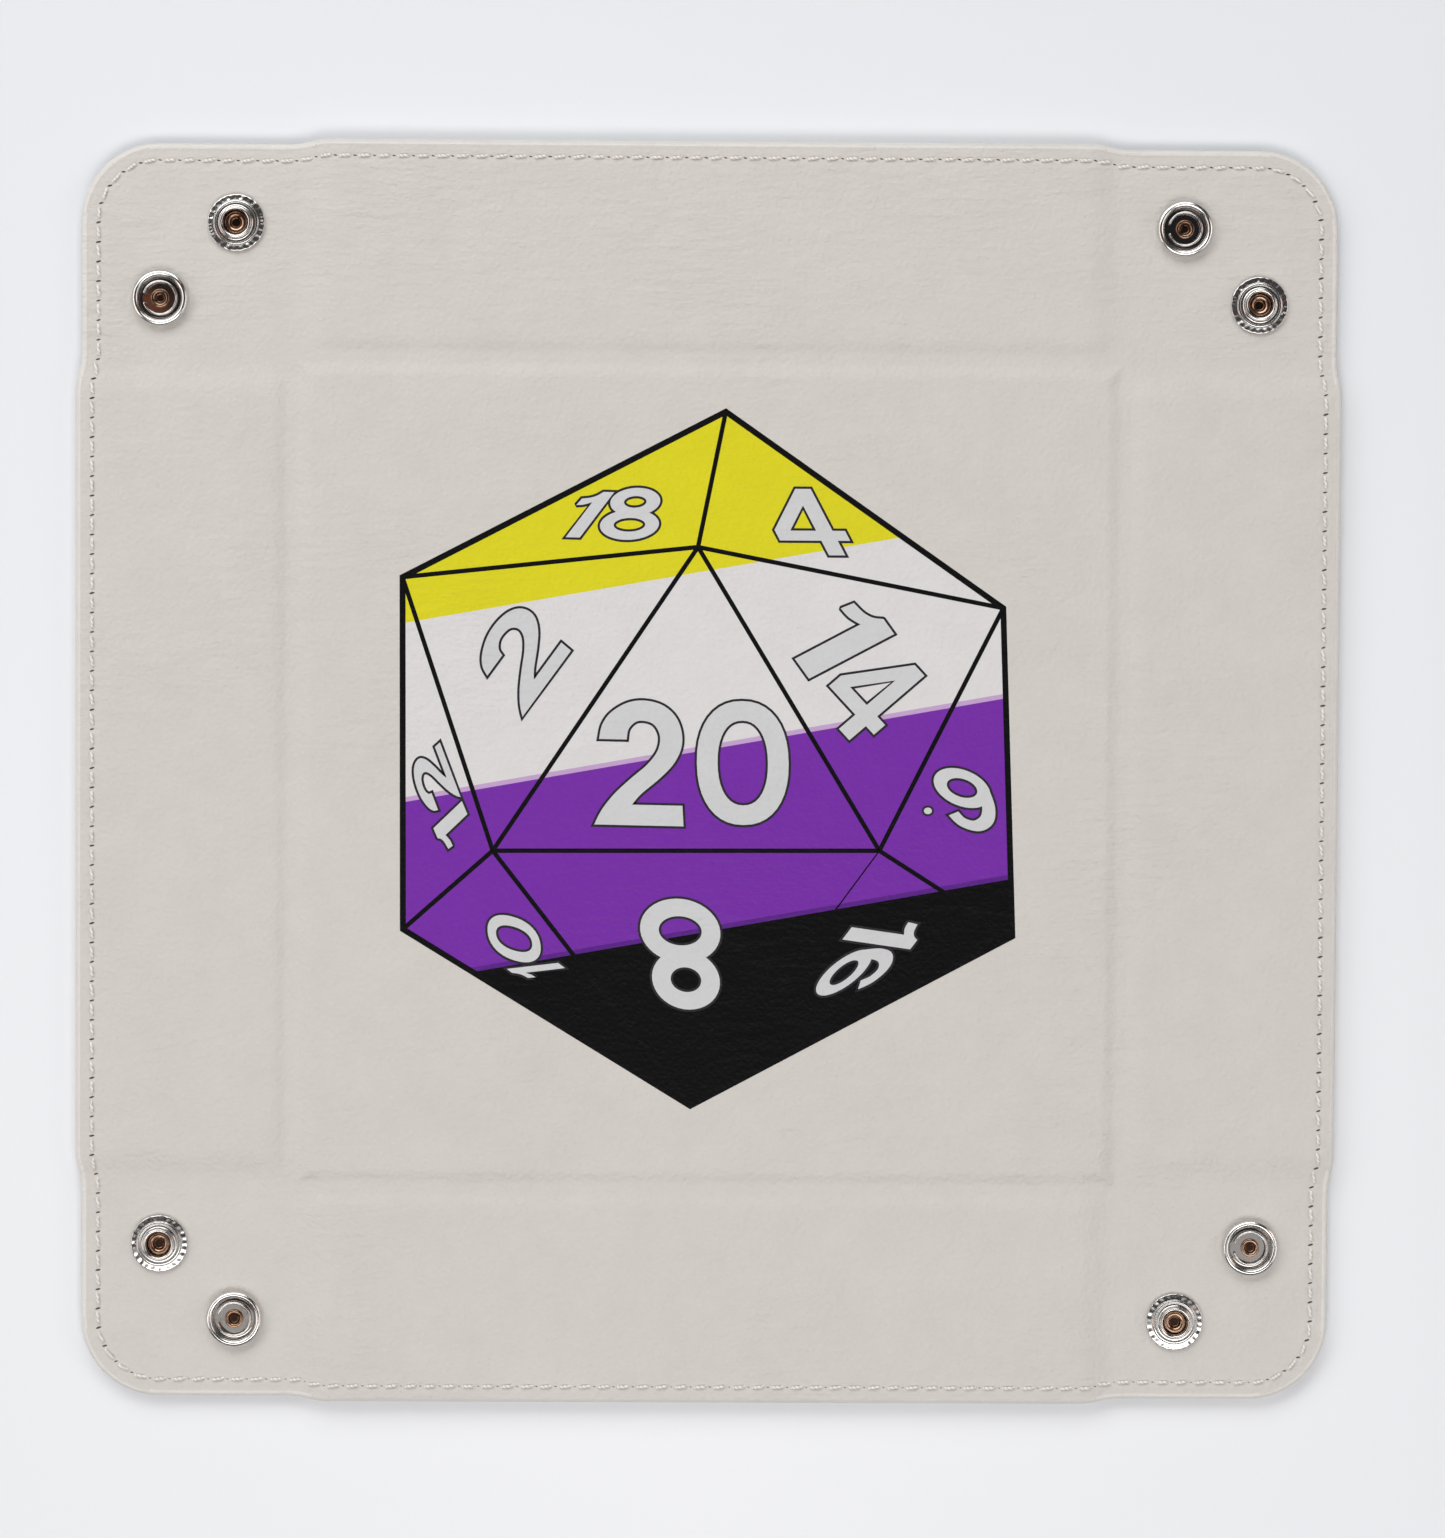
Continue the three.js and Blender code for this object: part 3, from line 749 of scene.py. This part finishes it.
def film_heights(layer, order=0):
    """Bottom and top of a slip of ink. Neighbouring strokes differ in height, so that they cross cleanly."""
    return PANEL_TOP - INK_THICKNESS, PANEL_TOP + INK_THICKNESS + INK_LAYER * layer + INK_STROKE * (order % 4)


def film(name, shapes, layer, look):
    """Strokes of ink as thin closed slips, each a strip of (left, right) pairs."""
    vertices, faces = [], []
    for order, pairs in enumerate(shapes):
        low, high = film_heights(layer, order)
        first = len(vertices)
        for left, right in pairs:
            vertices += [(*left, high), (*right, high), (*left, low), (*right, low)]
        for i in range(len(pairs) - 1):
            a, b = first + 4 * i, first + 4 * i + 4
            faces += [(a, a + 1, b + 1, b), (b + 2, b + 3, a + 3, a + 2), (a, b, b + 2, a + 2),
                      (a + 1, a + 3, b + 3, b + 1)]
        if pairs[0] == pairs[-1]:
            continue
        a, b = first, first + 4 * len(pairs) - 4
        faces += [(a + 1, a, a + 2, a + 3), (b, b + 1, b + 3, b + 2)]
    print_on_panel(name, vertices, faces, look)


def filled(loops, name, layer, look):
    """A flat slip of ink with an outline and perhaps holes, each a loop of points."""
    points = [p for loop in loops for p in loop]
    count = len(points)
    low, high = film_heights(layer)
    vertices = [(x, y, high) for x, y in points] + [(x, y, low) for x, y in points]
    faces = []
    for a, b, c in geometry.tessellate_polygon([[Vector((x, y, 0)) for x, y in loop] for loop in loops]):
        faces += [(a, b, c), (c + count, b + count, a + count)]
    first = 0
    for loop in loops:
        for i in range(len(loop)):
            a, b = first + i, first + (i + 1) % len(loop)
            faces.append((b, a, a + count, b + count))
        first += len(loop)
    print_on_panel(name, vertices, faces, look)


def band(high, low):
    shape = hull if high is None else below(hull, high)
    return [shape if low is None else above(shape, low)]


yellow_edge, white_edge, purple_edge = BAND_STARTS["yellow"], BAND_STARTS["white"], BAND_STARTS["purple"]
filled(band(None, yellow_edge), "die_yellow_band", 0, "yellow")
filled(band(yellow_edge, white_edge), "die_white_band", 0, "white")
filled(band(white_edge, purple_edge), "die_purple_band", 0, "purple")
filled(band(purple_edge, None), "die_black_band", 0, "black")
filled(band(white_edge + BAND_LINE, white_edge), "die_lilac_line", 1, "lilac")
filled(band(purple_edge + BAND_LINE, purple_edge), "die_violet_line", 1, "violet")


def line(a, b, width):
    dx, dy = b[0] - a[0], b[1] - a[1]
    n = width / 2 / math.hypot(dx, dy)
    return [((a[0] - dy * n, a[1] + dx * n), (a[0] + dy * n, a[1] - dx * n)),
            ((b[0] - dy * n, b[1] + dx * n), (b[0] + dy * n, b[1] - dx * n))]


def ribbon(points, width, closed=False):
    """A stroke of even width along a line of points, with butt ends and mitred bends."""
    pairs = []
    count = len(points)
    for i, (x, y) in enumerate(points):
        neighbours = []
        if closed or i > 0:
            neighbours.append((points[i - 1], -1))
        if closed or i < count - 1:
            neighbours.append((points[(i + 1) % count], 1))
        tx = ty = ends = 0.0
        for (px, py), sign in neighbours:
            gap = math.hypot(px - x, py - y)
            if gap > 0:
                tx, ty, ends = tx + sign * (px - x) / gap, ty + sign * (py - y) / gap, ends + 1
        size = math.hypot(tx, ty)
        reach = width / 2 / max(0.5, size / ends)
        tx, ty = tx / size, ty / size
        pairs.append(((x - ty * reach, y + tx * reach), (x + ty * reach, y - tx * reach)))
    return pairs + pairs[:1] if closed else pairs


film("die_outline", [ribbon(hull, HULL_LINE, closed=True)], 3, "line")
edges_of_die = [(FACE_TOP, DIE_TOP), (FACE_TOP, DIE_LEFT_UPPER), (FACE_TOP, DIE_RIGHT_UPPER),
                (FACE_TOP, FACE_LEFT), (FACE_TOP, FACE_RIGHT), (FACE_LEFT, FACE_RIGHT),
                (FACE_LEFT, DIE_LEFT_UPPER), (FACE_LEFT, DIE_LEFT_LOWER), (FACE_LEFT, DIE_BOTTOM),
                (FACE_RIGHT, DIE_RIGHT_UPPER), (FACE_RIGHT, DIE_RIGHT_LOWER)]
film("die_face_lines", [line(a, b, FACE_LINE) for a, b in edges_of_die], 2, "line")
film("die_faint_line", [line(FACE_RIGHT, DIE_BOTTOM, FAINT_LINE)], 1, "line")

# Numerals: plain upright sans figures, each leaning with the face of the die that it is drawn on.
STROKE = 0.165
NUMERAL_EDGE = 0.5


def arc(cx, cy, rx, ry, count=40, power=2.0):
    points = []
    for i in range(count):
        a = i / count * 2 * math.pi
        c, s = math.cos(a), math.sin(a)
        points.append((cx + rx * math.copysign(abs(c) ** (2 / power), c),
                       cy + ry * math.copysign(abs(s) ** (2 / power), s)))
    return points


def curve(*points):
    """A smooth line through the given points."""
    line_points = []
    for i in range(len(points) - 1):
        around = [points[max(0, min(len(points) - 1, i + k))] for k in (-1, 0, 1, 2)]
        for k in range(6):
            t = k / 6
            line_points.append(tuple(0.5 * (
                2 * b + (c - a) * t + (2 * a - 5 * b + 4 * c - d) * t * t + (3 * b - a - 3 * c + d) * t ** 3)
                for a, b, c, d in zip(*around)))
    return line_points + [points[-1]]


def ring_of(cx, cy, rx, ry, power=2.0):
    return [arc(cx, cy, rx, ry, power=power), arc(cx, cy, rx - STROKE, ry - STROKE * 0.96, power=power)]


def outline_of(points):
    pairs = ribbon(points, STROKE)
    return [[left for left, _ in pairs] + [right for _, right in reversed(pairs)]]


# Each figure is a list of shapes, and each shape a list of loops: its outline, then any hole in it.
FIGURES = {
    "0": [ring_of(0.365, 0.5, 0.365, 0.5, 2.25)],
    "1": [[[(0.36, 0.0), (0.525, 0.0), (0.525, 1.0), (0.40, 1.0)] + curve(
        (0.40, 1.0), (0.36, 0.92), (0.30, 0.87), (0.21, 0.845)) + [(0.20, 0.70)] + curve(
        (0.20, 0.70), (0.28, 0.715), (0.36, 0.77))]],
    "2": [[[(0.0, 0.0), (0.71, 0.0), (0.70, 0.165), (0.30, 0.165)] + curve(
        (0.30, 0.165), (0.37, 0.25), (0.52, 0.38), (0.63, 0.50), (0.69, 0.63), (0.69, 0.76), (0.64, 0.88),
        (0.54, 0.965), (0.40, 1.0), (0.26, 0.98), (0.13, 0.90), (0.06, 0.80), (0.035, 0.685)) + curve(
        (0.255, 0.685), (0.27, 0.77), (0.33, 0.83), (0.41, 0.835), (0.48, 0.80), (0.52, 0.71), (0.50, 0.60),
        (0.42, 0.49), (0.29, 0.375), (0.16, 0.25), (0.06, 0.12), (0.0, 0.0))[:-1]]],
    "4": [[[(0.43, 0.0), (0.60, 0.0), (0.60, 0.22), (0.73, 0.22), (0.73, 0.37), (0.60, 0.37), (0.60, 1.0),
            (0.44, 1.0), (0.0, 0.38), (0.0, 0.22), (0.43, 0.22)],
           [(0.16, 0.37), (0.43, 0.37), (0.43, 0.75)]]],
    "6": [ring_of(0.375, 0.315, 0.36, 0.315), outline_of(curve(
        (0.10, 0.32), (0.11, 0.58), (0.20, 0.80), (0.37, 0.915), (0.54, 0.87), (0.62, 0.74)))],
    "8": [ring_of(0.365, 0.73, 0.30, 0.27), ring_of(0.365, 0.29, 0.355, 0.29)],
}
# (figure, centre x, centre y, width, height, turn, lean), millimetres and degrees
NUMERALS = [
    ("2", -14.3, 2.6, 19.4, 26.4, -1, -1), ("0", 7.3, 2.7, 19.4, 26.2, 0, -1),
    ("8", -5.1, -37.8, 17.4, 23.7, 180, -7), ("2", -39.8, 25.2, 17.8, 16.4, 54, 9),
    ("1", 27.2, 29.4, 22.8, 20.3, -54, 8), ("4", 34.6, 17.8, 14.0, 20.9, -47, 2),
    ("1", -26.6, 54.9, 13.1, 12.0, -1, 36), ("8", -16.3, 55.1, 12.7, 11.3, -1, 13),
    ("4", 20.2, 53.6, 14.8, 15.8, 0, -28), ("2", -57.8, -1.3, 12.7, 8.2, 111, -15),
    ("1", -53.8, -11.2, 13.2, 8.3, 113, -21), ("6", 54.8, -4.8, 11.8, 14.3, 176, -25),
    ("1", -35.5, -41.5, 8.0, 10.9, 143, 46), ("0", -40.8, -34.7, 9.4, 11.6, 95, 20),
    ("1", 37.7, -33.0, 14.5, 14.5, -127, -29), ("6", 31.7, -41.1, 12.7, 14.1, -129, -46),
]


def lay_figure(loop, cx, cy, width, height, turn, lean):
    """Moves a loop from the figure's own box, 0.73 wide and 1 high, on to the die."""
    xa, ya = math.radians(turn), math.radians(turn + 90 - lean)
    laid = []
    for x, y in loop:
        a, b = (x - 0.365) / 0.73 * width, (y - 0.5) * height
        laid.append((cx + a * math.cos(xa) + b * math.cos(ya), cy + a * math.sin(xa) + b * math.sin(ya)))
    return laid


numeral_edges = []
for order, (figure, *place) in enumerate(NUMERALS):
    for part, shape in enumerate(FIGURES[figure]):
        loops = [lay_figure(loop, *place) for loop in shape]
        numeral_edges += [ribbon(loop, 2 * NUMERAL_EDGE, closed=True) for loop in loops]
        filled(loops, f"numeral_{order + 1}_part_{part + 1}", 5 + part * 0.3, "numeral")
film("numeral_edges", numeral_edges, 4, "edge")
filled([arc(46.5, -7.2, 1.3, 1.15, count=16)], "numeral_dot_edge", 4, "edge")
filled([arc(46.5, -7.2, 0.85, 0.7, count=16)], "numeral_dot", 5, "numeral")

# ---- Snaps -----------------------------------------------------------------------------------------
# Spring-socket snap fasteners, pressed from brass strip and nickel plated, riveted through both sheets.
# Mirror-bright rims and dark wells, with the brass warm where the plate is thin on the rolled rivets.
LEATHER_TOP = 2.8
SEGMENTS = 144
KNURLS = 25
KNURL_DEPTH = 0.1
KNURL_UNEVENNESS = 0.13
# Sections of the pressings: (radius, height above the leatherette), round each closed outline.
STUD_PROFILE = [(1.5, 0.1), (1.5, -0.15), (5.95, -0.15), (6.05, 0.2), (5.95, 0.66), (4.95, 0.71),
                (4.75, 0.72), (4.62, 1.02), (4.3, 1.1), (4.05, 0.98), (3.6, 1.02), (3.3, 1.3), (3.08, 1.75),
                (3.08, 1.95), (3.3, 2.2), (3.28, 2.55), (3.0, 2.66), (2.66, 2.5), (2.5, 1.6), (2.45, 0.5),
                (2.1, 0.3), (1.5, 0.3)]
SOCKET_PROFILE = [(1.5, 0.1), (1.5, -0.15), (5.75, -0.15), (5.92, 0.3), (5.95, 1.1), (5.7, 1.65), (5.2, 1.9),
                  (4.75, 1.7), (4.5, 1.25), (4.45, 0.5), (4.3, 0.16), (3.8, 0.14), (3.2, 0.2), (2.6, 0.24),
                  (1.5, 0.3)]
STUD_RIVET_PROFILE = [(0.0, -2.0), (1.42, -2.0), (1.42, 0.25), (1.6, 0.5), (2.2, 0.55), (2.4, 0.8),
                      (2.2, 1.12), (1.7, 1.18), (1.25, 0.95), (1.08, 0.5), (1.05, 0.04), (0.0, 0.02)]
SOCKET_RIVET_PROFILE = [(0.0, -2.0), (1.42, -2.0), (1.42, 0.3), (1.55, 0.46), (1.9, 0.5), (1.97, 0.66),
                        (1.8, 0.85), (1.4, 0.86), (1.12, 0.6), (0.95, 0.22), (0.85, 0.04), (0.0, 0.02)]
CAP_PROFILE = [(0.0, -2.78), (2.8, -2.76), (4.8, -2.6), (5.65, -2.3), (5.88, -1.98), (5.8, -1.82),
               (0.0, -1.82)]
WELL_PROFILE = [(1.5, 0.24), (4.25, 0.2), (4.3, 0.24), (3.9, 0.3), (2.6, 0.33), (1.5, 0.36)]
BORE_FLOOR = {"stud": 1.06, "socket": 0.86}     # radius of the dark disc of painted shade that stands for the deep bottom of each rivet's hollow shank
SPRING_RADIUS = 3.45
SPRING_WIRE = 0.25
SPRING_HEIGHT = 1.35
SPRING_GAP = math.radians(34)


def plated_metal(name, body_colour, thin_colour, roughness, thin_from):
    """Polished plate: near-mirror, with faint draw marks and patches where the warm base metal shows."""
    material, tree = start_material(name)
    place = add(tree, "ShaderNodeTexCoord").outputs["Object"]
    patches = add(tree, "ShaderNodeTexNoise", [("Vector", place)], Scale=1000 / 2.5, Detail=4.0,
                  Roughness=0.65)
    marks = add(tree, "ShaderNodeTexNoise", [("Vector", place)], Scale=1000 / 0.5, Detail=3.0)
    thin = add(tree, "ShaderNodeMapRange", [("Value", patches.outputs["Fac"])])
    thin.inputs["From Min"].default_value = thin_from
    thin.inputs["From Max"].default_value = thin_from + 0.2
    tone = add(tree, "ShaderNodeMix", [("Factor", thin.outputs["Result"])], data_type="RGBA")
    tone.inputs["A"].default_value = linear(body_colour)
    tone.inputs["B"].default_value = linear(thin_colour)
    polish = add(tree, "ShaderNodeMapRange", [("Value", marks.outputs["Fac"])])
    polish.inputs["To Min"].default_value = roughness - 0.05
    polish.inputs["To Max"].default_value = roughness + 0.08
    dents = add(tree, "ShaderNodeBump", [("Height", marks.outputs["Fac"])], Strength=0.05, Distance=0.00002)
    finish_material(tree, add(tree, "ShaderNodeBsdfPrincipled", [
        ("Base Color", tone.outputs["Result"]), ("Roughness", polish.outputs["Result"]),
        ("Normal", dents.outputs["Normal"])], Metallic=1.0))
    return material


bright_nickel = plated_metal("bright_nickel_plate", "#D3CFCB", "#C9B09A", 0.2, 0.66)
warm_brass = plated_metal("brass_through_worn_plate", "#A98A74", "#80604D", 0.22, 0.45)
satin_nickel = plated_metal("satin_nickel_rim", "#DEDBD8", "#CDB49F", 0.21, 0.64)
polished_nickel = plated_metal("polished_nickel_well", "#B9B3AE", "#A38D7D", 0.1, 0.55)
rivet_bore_shade = plated_metal("painted_shade_in_rivet_bore", "#3A2A22", "#2A1D17", 0.4, 0.5)
drawn_wire = plated_metal("drawn_spring_wire", "#D2CFCB", "#B9B2AA", 0.2, 0.6)


def rounded_profile(profile, cut=0.35):
    """The same closed outline with each corner eased, so that the edges catch the light."""
    points = []
    for i, p in enumerate(profile):
        before, after = profile[i - 1], profile[(i + 1) % len(profile)]
        if p[0] == 0.0:
            points.append(p)
            continue
        a, b = between(p, before, cut), between(p, after, cut)
        for t in (0.0, 0.33, 0.67, 1.0):
            points.append(between(between(a, p, t), between(p, b, t), t))
    return points


def turned_part(name, parts, centre, body, node, knurled=False):
    """A part of pressed rings. Each of parts is (profile, material); heights are above the leatherette."""
    vertices, faces, looks = [], [], []
    chance = random.Random(name)
    jitter = [chance.uniform(-0.5, 0.5) for _ in range(KNURLS)]
    for look, (profile, _) in enumerate(parts):
        ring = rounded_profile(profile)
        first = len(vertices)
        for k in range(SEGMENTS):
            a = k / SEGMENTS * 2 * math.pi
            wedge, phase = divmod(k / SEGMENTS * KNURLS, 1)
            bite = (0.5 - abs(phase - 0.5 - 0.3 * jitter[int(wedge)])) * 2
            for r, z in ring:
                if knurled and z > 0.3:
                    depth = (KNURL_DEPTH + KNURL_UNEVENNESS * jitter[int(wedge)]) * bite
                    z -= depth * ramp(r, 4.8, 5.3) * ramp(6.06 - r, 0.0, 0.3)
                vertices.append(((centre[0] + r * math.cos(a)) / 1000, (centre[1] + r * math.sin(a)) / 1000,
                                 (LEATHER_TOP + z) / 1000))
        count = len(ring)
        for k in range(SEGMENTS):
            here, there = first + k * count, first + (k + 1) % SEGMENTS * count
            for i in range(count):
                j = (i + 1) % count
                if ring[i][0] == 0.0 and ring[j][0] == 0.0:
                    continue
                faces.append((here + i, there + i, there + j, here + j))
                looks.append(look)
    mesh = bpy.data.meshes.new(name)
    mesh.from_pydata(vertices, [], faces)
    mesh.polygons.foreach_set("use_smooth", [True] * len(faces))
    mesh.polygons.foreach_set("material_index", looks)
    for _, material in parts:
        mesh.materials.append(material)
    weld(mesh)
    part = place_piece(name, mesh)
    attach(part, body)
    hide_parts(node)


def spring_ring(name, centre, body, node):
    """A split ring of wire held under the socket's rim, with its ends a little apart."""
    vertices, faces = [], []
    rings, sides = 96, 12
    for i in range(rings):
        a = math.pi + SPRING_GAP / 2 + (2 * math.pi - SPRING_GAP) * i / (rings - 1)
        for k in range(sides):
            b = k / sides * 2 * math.pi
            r = SPRING_RADIUS + SPRING_WIRE * math.cos(b)
            vertices.append(((centre[0] + r * math.cos(a)) / 1000, (centre[1] + r * math.sin(a)) / 1000,
                             (LEATHER_TOP + SPRING_HEIGHT + SPRING_WIRE * math.sin(b)) / 1000))
    for i in range(rings - 1):
        for k in range(sides):
            here, across = i * sides + k, i * sides + (k + 1) % sides
            faces.append((here, here + sides, across + sides, across))
    faces += [tuple(range(sides)), tuple(reversed(range((rings - 1) * sides, rings * sides)))]
    mesh = bpy.data.meshes.new(name)
    mesh.from_pydata(vertices, [], faces)
    mesh.polygons.foreach_set("use_smooth", [True] * (len(faces) - 2) + [False, False])
    mesh.materials.append(drawn_wire)
    ring = place_piece(name, mesh)
    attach(ring, body)
    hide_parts(node)


for quarter, corner in enumerate(CORNERS):
    for half, profile, rivet in (("stud", STUD_PROFILE, STUD_RIVET_PROFILE),
                                 ("socket", SOCKET_PROFILE, SOCKET_RIVET_PROFILE)):
        centre = corner_place(*SNAP_PLACES[0], half == "socket", quarter)
        body, node = f"{corner}_{half}_ear", f"{corner}_snap_{half}"
        pressed = [(profile, bright_nickel)] if half == "stud" else [
            (profile, satin_nickel), (WELL_PROFILE, polished_nickel)]
        # Painted shade: the bore is a thin dark disc low in the rivet, standing for the shade down its deep
        # hollow shank.
        bore = [(0.0, 0.03), (BORE_FLOOR[half], 0.03), (BORE_FLOOR[half], 0.07), (0.0, 0.07)]
        turned_part(f"{node}_plated", pressed, centre, body, node, half == "stud")
        turned_part(f"{node}_rivet_and_cap", [(CAP_PROFILE, bright_nickel), (rivet, warm_brass),
                                              (bore, rivet_bore_shade)], centre, body, f"{node}_cap")
        if half == "socket":
            spring_ring(f"{node}_split_ring", centre, body, f"{node}_spring")

# ---- Studio ----------------------------------------------------------------------------------------
# The tray lies on plain pale board, lit by one broad soft light beyond its north edge and softer ones
# round it.
FLOOR_SIZE = 3.0
paper, tree = start_material("pale_studio_board")
place = add(tree, "ShaderNodeTexCoord").outputs["Object"]
mottle = add(tree, "ShaderNodeTexNoise", [("Vector", place)], Scale=1.6, Detail=3.0)
# Painted light: the board is coloured lighter in a broad pool towards the near edge, standing in for the fall
# of the light.
near_edge = add(tree, "ShaderNodeMapping", [("Vector", place)])
near_edge.inputs["Location"].default_value = (0.0, 0.36, 0.0)
near_edge.inputs["Scale"].default_value = (2.2, 2.4, 1.0)
painted_light_pool = add(tree, "ShaderNodeTexGradient", [("Vector", near_edge.outputs[0])], gradient_type="SPHERICAL")
light_pool_tone = add(tree, "ShaderNodeMix", [("Factor", painted_light_pool.outputs["Fac"])], data_type="RGBA")
light_pool_tone.inputs["A"].default_value = linear("#E1E4E7")
light_pool_tone.inputs["B"].default_value = linear("#F3F4F6")
paper_tone = add(tree, "ShaderNodeMix",
                 [("Factor", mottle.outputs["Fac"]), ("A", light_pool_tone.outputs["Result"])],
                 data_type="RGBA", blend_type="MULTIPLY")
paper_tone.inputs["B"].default_value = linear("#FCFCFD")
tooth = add(tree, "ShaderNodeTexNoise", [("Vector", place)], Scale=1000 / 0.8, Detail=4.0)
tooth_bump = add(tree, "ShaderNodeBump", [("Height", tooth.outputs["Fac"])], Strength=0.08, Distance=0.0001)
finish_material(tree, add(tree, "ShaderNodeBsdfPrincipled", [
    ("Base Color", paper_tone.outputs["Result"]), ("Normal", tooth_bump.outputs["Normal"])], Roughness=0.85))
floor_mesh = bpy.data.meshes.new("studio_floor")
edge = FLOOR_SIZE / 2
floor_corners = [(-edge, -edge, 0), (edge, -edge, 0), (edge, edge, 0), (-edge, edge, 0)]
floor_mesh.from_pydata(floor_corners, [], [(0, 1, 2, 3)])
floor_mesh.materials.append(paper)
floor = place_piece("studio_floor", floor_mesh)
floor.location.z = -0.00005    # just clear of the tray's underside


def softbox(name, place, aim, width, height, watts, colour):
    lamp = bpy.data.lights.new(name, "AREA")
    lamp.shape = "RECTANGLE"
    lamp.size, lamp.size_y = width, height
    lamp.energy = watts
    lamp.color = linear(colour)[:3]
    light = bpy.data.objects.new(name, lamp)
    light.location = place
    light.rotation_euler = (Vector(aim) - Vector(place)).to_track_quat("-Z", "Y").to_euler()
    bpy.context.scene.collection.objects.link(light)


softbox("north_softbox", (-0.3, 1.05, 0.85), (0, 0, 0), 1.8, 0.8, 15.8, "#FDFEFF")
softbox("south_high_softbox", (0.05, -0.8, 1.15), (0, -0.05, 0), 1.4, 0.6, 9.8, "#FFFFFF")
softbox("west_softbox", (-1.2, 0.0, 0.7), (0, 0, 0), 1.4, 0.7, 4.9, "#FFFFFF")
softbox("east_softbox", (1.2, -0.1, 0.7), (0, 0, 0), 1.4, 0.7, 4.5, "#FFFFFF")
softbox("dim_overhead_card", (0.0, -0.30, 1.2), (0, -0.30, 0), 1.2, 0.28, 0.63, "#FCFDFF")
softbox("west_warm_strip", (-0.9, -0.25, 0.45), (0, 0, 0), 0.12, 0.3, 0.23, "#FF9A68")
softbox("east_warm_strip", (0.9, 0.2, 0.5), (0, 0, 0), 0.12, 0.3, 0.23, "#FF9A68")
softbox("warm_glow", (-0.25, 0.14, 0.9), (-0.1, 0.1, 0), 0.1, 0.12, 0.008, "#FF9A68")

world = bpy.data.worlds.new("studio_world")
world.use_nodes = True
surround = world.node_tree.nodes["Background"]
surround.inputs["Color"].default_value = linear("#E8EBF0")
surround.inputs["Strength"].default_value = 0.03
bpy.context.scene.world = world
bpy.context.scene.view_settings.view_transform = "Standard"

camera_data = bpy.data.cameras.new("camera")
camera_data.lens = 100
camera_data.sensor_width = 36
camera = bpy.data.objects.new("camera", camera_data)
camera.location = (-0.0089, 0.0343, 0.9053)
camera.rotation_euler = [math.radians(a) for a in (-2.093, -0.746, 0.336)]
bpy.context.scene.collection.objects.link(camera)
bpy.context.scene.camera = camera
